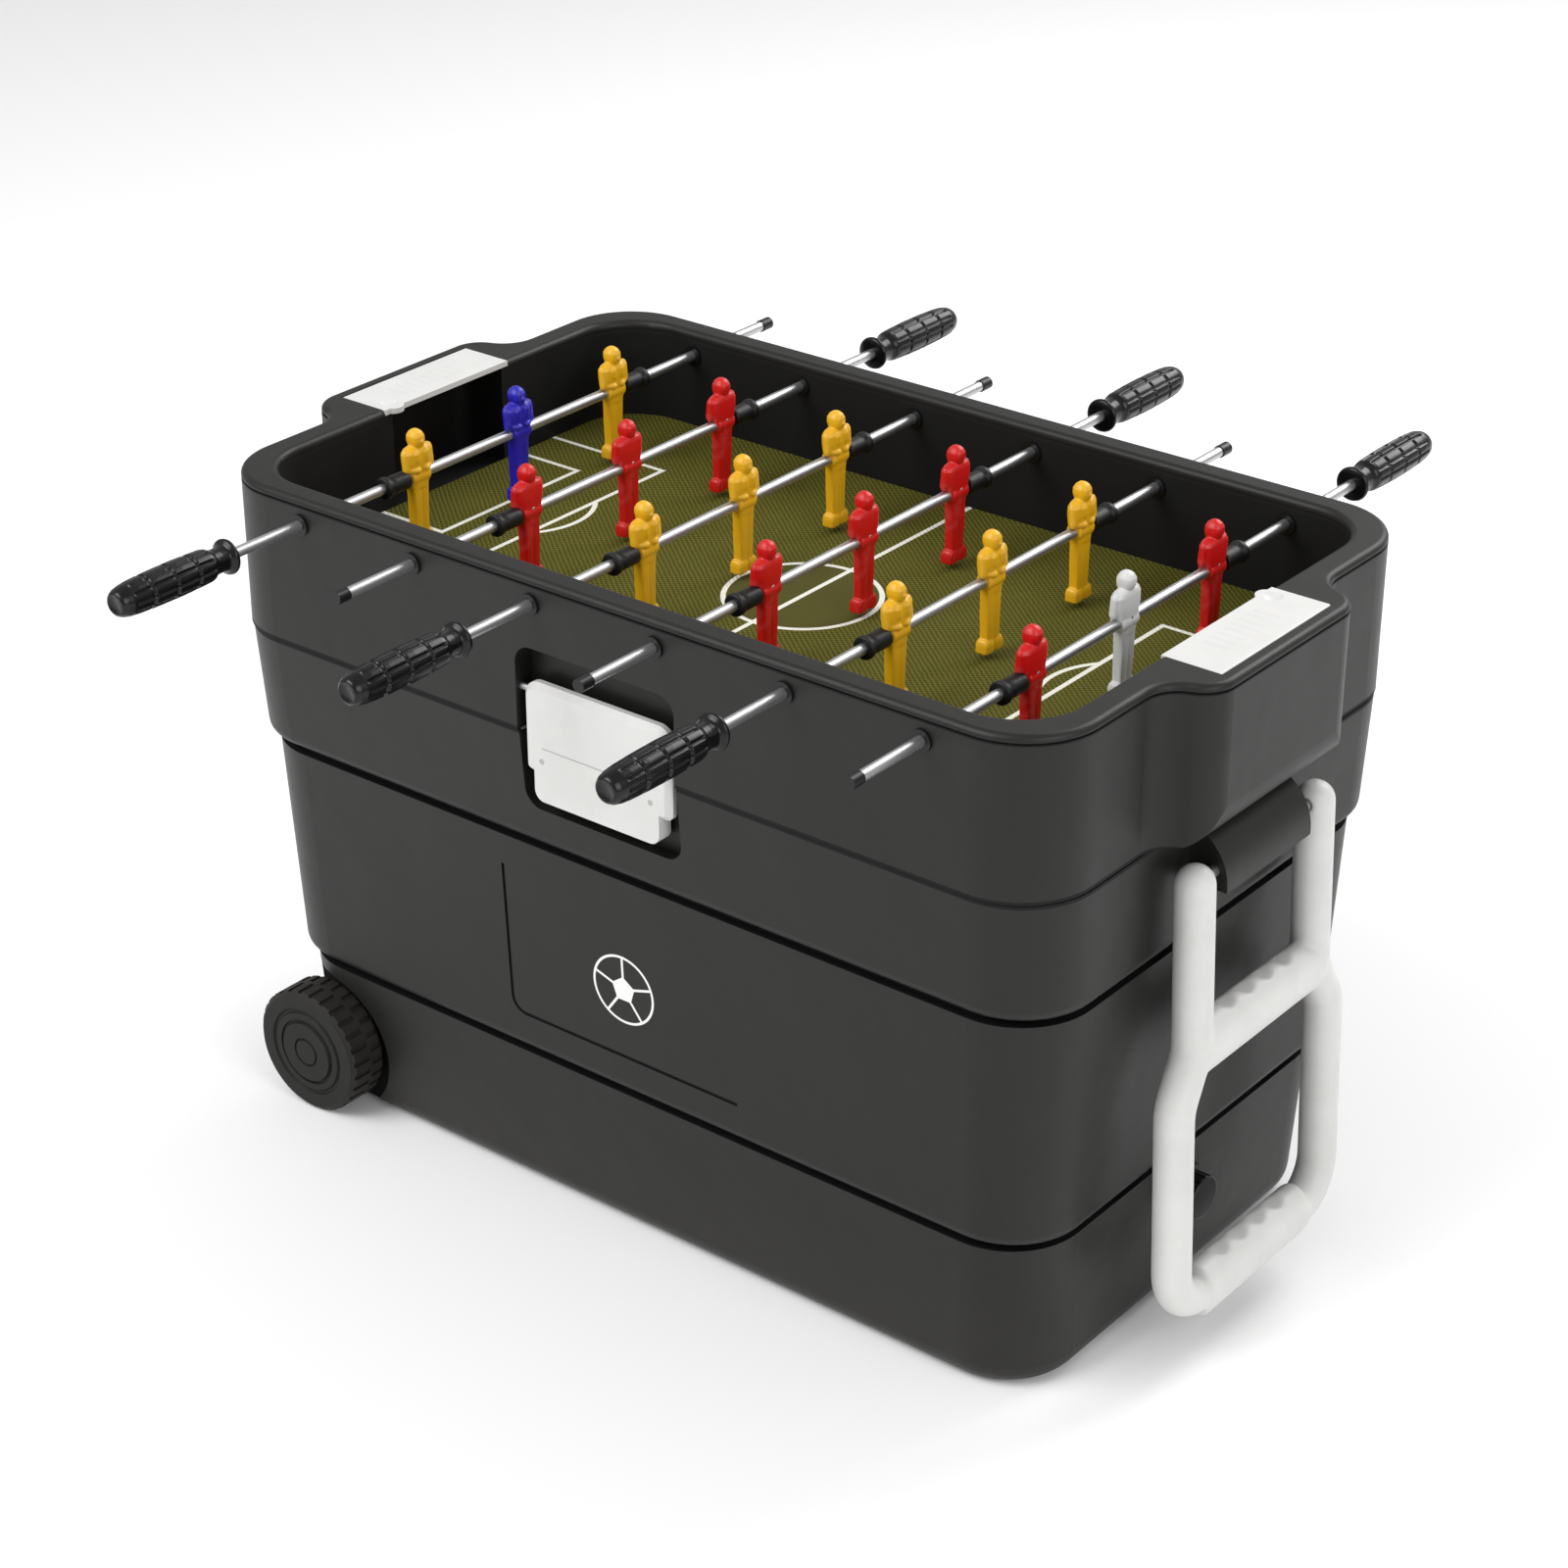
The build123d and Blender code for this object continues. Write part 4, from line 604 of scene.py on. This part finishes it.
def rod_steel():
    """Soft bright plated steel."""
    finish = Finish("rod_steel")
    lines = finish.noise(420, 2.0, stretch=(1, 0.05, 1))
    cloud = finish.noise(35, 4.0)
    colour = finish.mixed(cloud * 0.18, ROD_BRIGHT, ROD_SHADE)
    rough = 0.36 + 0.06 * lines + 0.06 * cloud
    return finish.coat(colour, rough, finish.bump(cloud, 0.00005), Metallic=1.0)


paint(rod_steel(), *[f"rod_{n}" for n in range(1, 7)])

# ---------------------------------------------------------------- players
# Each player is one solid moulding in team colour, screwed to its rod: a plain round head,
# arms held in, a boss for the rod, straight legs and two square toes on one foot block. The
# sizes of its levels are in millimetres.
TEAM_COLOURS = {
    "yellow": (0.80, 0.43, 0.006),
    "red": (0.60, 0.004, 0.004),
    "blue": (0.016, 0.010, 0.42),
    "white": (0.66, 0.66, 0.65),
}
MM = 0.001
HEAD_HALF = 7.3
PLAYER_SMALLEST = 0.00055
PLAYER_KEPT = 0.35
MEN_HALF_WIDTH = 0.0135


def moulded_colour(team):
    """Glossy moulded plastic with flow marks and slightly rubbed high spots."""
    tone = TEAM_COLOURS[team]
    finish = Finish(team + "_player")
    cloud = finish.noise(90, 4.0, roughness=0.6)
    grain = finish.noise(1600, 2.0)
    dark = tuple(0.62 * part for part in tone)
    pale = tuple(0.85 * part + 0.05 for part in tone)
    colour = finish.mixed(cloud * 0.5, tone, dark)
    colour = finish.mixed((1 - cloud.under(0.66, 0.12)) * 0.35, colour, pale)
    rough = 0.30 + 0.16 * cloud + 0.05 * grain
    relief = finish.bump(cloud, 0.00025, finish.bump(grain, 0.00004))
    return finish.coat(colour, rough, relief, Subsurface_Weight=0.05, Subsurface_Scale=0.002)


def lofted(mesh, levels, points=28):
    """Adds a closed tube; each level is (centre, half size along a, along b, squareness)."""
    rings = []
    for centre, side_a, side_b, square in levels:
        ring = []
        for i in range(points):
            turn = 2 * math.pi * i / points
            c, s = math.cos(turn), math.sin(turn)
            a = math.copysign(abs(c) ** (2 / square), c)
            b = math.copysign(abs(s) ** (2 / square), s)
            spot = Vector(centre) + a * Vector(side_a) + b * Vector(side_b)
            ring.append(mesh.verts.new(spot))
        rings.append(ring)
    joined(mesh, rings)
    mesh.faces.new(list(reversed(rings[0])))
    mesh.faces.new(rings[-1])


def joined(mesh, rings):
    """Adds the faces between each ring of points and the next."""
    for low, high in zip(rings, rings[1:]):
        for i in range(len(low)):
            j = (i + 1) % len(low)
            mesh.faces.new((low[i], low[j], high[j], high[i]))


def upright(mesh, levels, y=0.0):
    """Adds a closed form: (height, middle in x, half depth, half width, squareness) in mm."""
    rings = []
    for z, x, depth, width, square in levels:
        centre = (x * MM, y * MM, z * MM)
        rings.append((centre, (depth * MM, 0, 0), (0, width * MM, 0), square))
    lofted(mesh, rings)


def limb(mesh, start, end, thick, thin):
    """Adds a rounded limb between two points, all in mm."""
    start, end = Vector(start) * MM, Vector(end) * MM
    thick, thin = thick * MM, thin * MM
    along = (end - start).normalized()
    side = along.orthogonal().normalized()
    other = along.cross(side)
    stations = [(-1.0, 0.25), (-0.7, 0.72), (0.0, 1.0)]
    levels = [(start + along * thick * k, thick * r) for k, r in stations]
    levels += [(end - along * thin * k, thin * r) for k, r in reversed(stations)]
    lofted(mesh, [(centre, side * r, other * r, 2.0) for centre, r in levels], 16)


def skinned(mesh, name):
    """A smooth mesh of a finished form, with its faces outward."""
    bmesh.ops.recalc_face_normals(mesh, faces=mesh.faces)
    data = bpy.data.meshes.new(name)
    mesh.to_mesh(data)
    mesh.free()
    for face in data.polygons:
        face.use_smooth = True
    return data


def player_mesh(name, drop, rise):
    """One player about the rod axis, facing +X, fused into a single moulded skin."""
    mesh = bmesh.new()
    sole = -drop / MM
    head = rise / MM - HEAD_HALF
    torso = [
        (-9, 0, 4.6, 7.7, 4.6),
        (-3, 0, 5.2, 8.7, 4.2),
        (3.5, 0, 5.4, 10.4, 3.8),
        (12, 0.2, 5.9, 12.4, 3.6),
        (18.5, 0.2, 5.6, 13.2, 3.2),
        (21.2, 0, 4.8, 11.4, 2.6),
        (22.8, 0, 3.7, 6.6, 2.2),
        (24.6, 0, 3.2, 3.6, 2.0),
        (29, 0, 3.2, 3.5, 2.0),
    ]
    upright(mesh, torso)
    jaw_to_crown = [
        (-1.0, 0.34, 0.4),
        (-0.82, 0.66, 0.4),
        (-0.5, 0.90, 0.3),
        (-0.1, 1.0, 0.1),
        (0.35, 0.97, 0),
        (0.7, 0.74, 0),
        (0.9, 0.46, 0),
        (1.0, 0.18, 0),
    ]
    upright(mesh, [(head + k * HEAD_HALF, x, r * 6.5, r * 5.9, 2.5) for k, r, x in jaw_to_crown])
    limb(mesh, (6.4, 0, head - 1.2), (5.0, 0, head + 1.4), 1.3, 0.9)
    leg = [
        (sole + 4, 0, 3.8, 3.5, 5.0),
        (sole + 15, 0, 3.7, 3.6, 5.0),
        (sole + 27, -0.2, 4.0, 3.8, 5.0),
        (-12, 0, 4.2, 4.0, 5.0),
        (-4, 0, 4.4, 4.2, 5.0),
    ]
    toe = [
        (sole, 0.2, 4.4, 4.3, 5.0),
        (sole + 1.0, 0.2, 5.1, 4.9, 5.0),
        (sole + 6.2, 0.2, 5.1, 4.9, 5.0),
        (sole + 8.6, 0, 4.6, 4.4, 4.0),
        (sole + 10.0, 0, 3.6, 3.4, 3.0),
    ]
    for side in (-1, 1):
        elbow = (1.4, side * 11.4, 6.8)
        limb(mesh, (0.4, side * 11.0, 18.2), elbow, 3.5, 3.2)
        limb(mesh, elbow, (5.6, side * 4.2, 5.6), 2.7, 2.4)
        limb(mesh, (3.2, side * 4.6, 17.4), (3.9, side * 4.4, 12.8), 3.9, 3.2)
        upright(mesh, leg, side * 3.6)
        upright(mesh, toe, side * 5.3)
    web = [
        (sole + 0.8, 0, 4.2, 8.0, 5.0),
        (sole + 8.0, 0, 3.8, 8.0, 4.0),
        (sole + 11.0, 0, 3.3, 6.2, 4.0),
        (-12, 0, 3.7, 7.2, 4.0),
    ]
    upright(mesh, web)
    boss = [(-8.8, 5.4), (-8.0, 6.2), (8.0, 6.2), (8.8, 5.4)]
    lofted(mesh, [((0, y * MM, 0), (r * MM, 0, 0), (0, 0, r * MM), 2.0) for y, r in boss])
    return softened(name, skinned(mesh, name), PLAYER_SMALLEST, 3, PLAYER_KEPT)


SCREW_RADIUS = 0.0016
SCREW_RISE = 0.0026
SCREW_BACK = 0.0048
SCREW_HEIGHT = 0.0009


def screw_mesh():
    """The domed head of a small screw in the back of a player, pointing along -X."""
    mesh = bmesh.new()
    levels = []
    for k, r in [(0.0, 0.86), (0.35, 1.0), (0.7, 0.92), (0.95, 0.62), (1.0, 0.25)]:
        centre = (-SCREW_BACK - k * SCREW_HEIGHT, 0, SCREW_RISE)
        levels.append((centre, (0, r * SCREW_RADIUS, 0), (0, 0, r * SCREW_RADIUS), 2.0))
    lofted(mesh, levels, 20)
    return skinned(mesh, "player_screw")


rod_low, rod_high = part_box("rod_1")
axis_z = (rod_low.z + rod_high.z) / 2
man_low, man_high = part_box("men_1")
figure = player_mesh("player", axis_z - man_low.z, man_high.z - axis_z)
figures = {}
for team in TEAM_COLOURS:
    figures[team] = figure.copy()
    figures[team].materials.clear()
    figures[team].materials.append(moulded_colour(team))
screw = screw_mesh()
screw.materials.append(plated)


for n in range(1, 7):
    rod_low, rod_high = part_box(f"rod_{n}")
    axis = (rod_low + rod_high) / 2
    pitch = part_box(f"men_{n}")[1].y - MEN_HALF_WIDTH
    team = "yellow" if n % 2 else "red"
    keeper = {1: ("blue", "left_goalkeeper"), 6: ("white", "right_goalkeeper")}.get(n)
    for row, place in (("front", -pitch), ("middle", 0.0), ("back", pitch)):
        colour_name, node = team, f"men_{n}"
        if row == "middle" and keeper:
            colour_name, node = keeper
        spot = Vector((axis.x, place, axis.z))
        facing_back = n % 2 == 0
        man = placed(f"player_{n}_{row}", figures[colour_name], spot, facing_back)
        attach(man, f"player_rod_{n}")
        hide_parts(node)
        fixing = placed(f"player_screw_{n}_{row}", screw, spot, facing_back)
        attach(fixing, f"player_rod_{n}")

# ---------------------------------------------------------------- bumpers
# A black rubber sleeve with a flange sits on the rod outside each of the outer players and
# stops the rod at the wall. The pair slides with the rod but does not turn with it.
SLEEVE_PROFILE = [
    (0.0000, 0.0042),
    (0.0001, 0.0060),
    (0.0007, 0.0066),
    (0.0018, 0.0068),
    (0.0160, 0.0068),
    (0.0168, 0.0063),
    (0.0180, 0.0063),
    (0.0188, 0.0070),
    (0.0194, 0.0077),
    (0.0204, 0.0080),
    (0.0226, 0.0080),
    (0.0235, 0.0077),
    (0.0239, 0.0070),
    (0.0240, 0.0042),
]


def turned(name, profile, points, shape=None):
    """A closed form turned about Y from (station, radius) points; shape may alter a radius."""
    mesh = bmesh.new()
    rings = []
    for station, base in profile:
        ring = []
        for i in range(points):
            turn = 2 * math.pi * i / points
            radius = shape(station, turn, base) if shape else base
            place = (radius * math.cos(turn), station, radius * math.sin(turn))
            ring.append(mesh.verts.new(place))
        rings.append(ring)
    joined(mesh, rings)
    mesh.faces.new(rings[-1])
    mesh.faces.new(list(reversed(rings[0])))
    return skinned(mesh, name)


def finer(profile, step):
    """The same profile with extra stations, so that no two are further apart than a step."""
    stations = []
    for (y0, r0), (y1, r1) in zip(profile, profile[1:]):
        count = max(1, round(abs(y1 - y0) / step))
        for k in range(count):
            stations.append((y0 + (y1 - y0) * k / count, r0 + (r1 - r0) * k / count))
    return stations + [profile[-1]]


sleeve_shape = turned("bumper_sleeve", finer(SLEEVE_PROFILE, 0.003), 48)
sleeve_shape.materials.append(stop_rubber)
for n in range(1, 7):
    low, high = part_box(f"bumpers_{n}")
    axis = (low + high) / 2
    length = SLEEVE_PROFILE[-1][0]
    for label, start in (("front", low.y + length), ("back", high.y - length)):
        spot = (axis.x, start, axis.z)
        piece = placed(f"bumper_{n}_{label}", sleeve_shape, spot, label == "front")
        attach(piece, f"slider_{n}")
        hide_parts(f"bumpers_{n}")

# ---------------------------------------------------------------- hand grips and end caps
# The grips are glossy black moulded rubber, pushed onto the rod: a thumb flange, a plain neck,
# then a body of pads parted by ten flutes and three rings. The caps are black nylon.
GRIP_BLACK = (0.0022, 0.0022, 0.0022)
FLUTES = 10
FLUTE_HALF_ANGLE = 0.085
FLUTE_DEPTH = 0.0019
RING_PLACES = (0.036, 0.056, 0.076)
RING_HALF = 0.0011
RING_DEPTH = 0.0017
PADS_START = 0.021
PADS_END = 0.0905
PADS_FADE = 0.004
GRIP_PROFILE = [
    (0.0000, 0.0040),
    (0.0002, 0.0112),
    (0.0010, 0.0122),
    (0.0022, 0.0126),
    (0.0036, 0.0123),
    (0.0044, 0.0112),
    (0.0052, 0.0096),
    (0.0064, 0.0089),
    (0.0110, 0.0087),
    (0.0155, 0.0089),
    (0.0180, 0.0098),
    (0.0200, 0.0111),
    (0.0225, 0.0117),
    (0.0300, 0.0120),
    (0.0480, 0.0125),
    (0.0700, 0.0123),
    (0.0860, 0.0117),
    (0.0930, 0.0110),
    (0.0975, 0.0099),
    (0.1000, 0.0086),
    (0.1012, 0.0072),
    (0.1010, 0.0062),
    (0.1006, 0.0058),
    (0.1006, 0.0002),
]


def eased(value, edge, width):
    """0 beyond an edge, rising smoothly to 1 within it."""
    share = min(max((edge - value) / width + 0.5, 0.0), 1.0)
    return share * share * (3 - 2 * share)


def grip_radius(station, turn, base):
    """The radius of the grip at a station and an angle, pads and flutes included."""
    if not PADS_START < station < PADS_END + PADS_FADE:
        return base
    fade = eased(PADS_START + 0.0006, station, 0.0012) * eased(station, PADS_END, 0.003)
    pitch = 2 * math.pi / FLUTES
    off_flute = abs((turn + pitch / 2) % pitch - pitch / 2)
    flute = eased(off_flute, FLUTE_HALF_ANGLE, 0.05) * fade
    ring = max(eased(abs(station - place), RING_HALF, 0.0008) for place in RING_PLACES)
    return base - max(flute * FLUTE_DEPTH, ring * RING_DEPTH)


grip_shape = turned("hand_grip", finer(GRIP_PROFILE, 0.0006), FLUTES * 12, grip_radius)
grip_shape.materials.append(black_rubber("grip_rubber", GRIP_BLACK, 0.17))
for n in range(1, 7):
    low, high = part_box(f"grip_{n}")
    axis = (low + high) / 2
    at_front = axis.y < 0
    spot = (axis.x, high.y if at_front else low.y, axis.z)
    piece = placed(f"hand_grip_{n}", grip_shape, spot, at_front)
    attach(piece, f"player_rod_{n}")
    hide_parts(f"grip_{n}")
paint(nylon, *[f"end_cap_{n}" for n in range(1, 7)])

# ---------------------------------------------------------------- floor, light and camera
# The table stands on a flat, plain pale studio floor under large soft lamps, seen from the
# front corner at the handle end. Each lamp is a place, a size in metres and a power in watts.
FLOOR_PALE = (0.93, 0.93, 0.93)
FLOOR_HALF = 30.0
FLOOR_MOTTLE = (0.88, 0.88, 0.88)
LAMPS = {
    "key_lamp": ((-1.2, -2.6, 3.0), (0, 0, 0.3), 2.4, 110),
    "fill_lamp": ((3.4, -1.0, 2.0), (0, 0, 0.3), 2.2, 52),
    "back_lamp": ((0.5, 2.8, 2.6), (0, 0, 0.4), 2.0, 80),
}
SKY_STRENGTH = 0.55
CAMERA_PLACE = (1.3526, -1.7295, 1.4229)
CAMERA_AIM = (0.0417, -0.0734, 0.3257)
LENS_MM = 80
SENSOR_MM = 36


def studio_floor():
    """A pale matt floor with the faintest mottling."""
    finish = Finish("studio_floor")
    cloud = finish.noise(1.5, 2.0)
    colour = finish.mixed(cloud * 0.05, FLOOR_PALE, FLOOR_MOTTLE)
    return finish.coat(colour, 0.75 + 0.05 * cloud, finish.bump(cloud, 0.0001))


def aimed(piece, place, aim):
    """Turns a lamp or a camera at a place towards a point."""
    line_of_sight = Vector(aim) - Vector(place)
    piece.rotation_euler = line_of_sight.to_track_quat("-Z", "Y").to_euler()


mesh = bmesh.new()
bmesh.ops.create_grid(mesh, x_segments=8, y_segments=8, size=FLOOR_HALF)
data = bpy.data.meshes.new("studio_floor")
mesh.to_mesh(data)
mesh.free()
data.materials.append(studio_floor())
placed("studio_floor", data)

for name, (place, aim, size, power) in LAMPS.items():
    lamp = bpy.data.lights.new(name, "AREA")
    lamp.size = size
    lamp.energy = power
    aimed(placed(name, lamp, place), place, aim)

world = bpy.data.worlds.new("studio")
world.use_nodes = True
sky = world.node_tree.nodes["Background"].inputs
sky["Color"].default_value = (1, 1, 1, 1)
sky["Strength"].default_value = SKY_STRENGTH
bpy.context.scene.world = world
bpy.context.scene.view_settings.view_transform = "Standard"

lens = bpy.data.cameras.new("camera")
lens.lens = LENS_MM
lens.sensor_width = SENSOR_MM
camera = placed("camera", lens, CAMERA_PLACE)
aimed(camera, CAMERA_PLACE, CAMERA_AIM)
bpy.context.scene.camera = camera
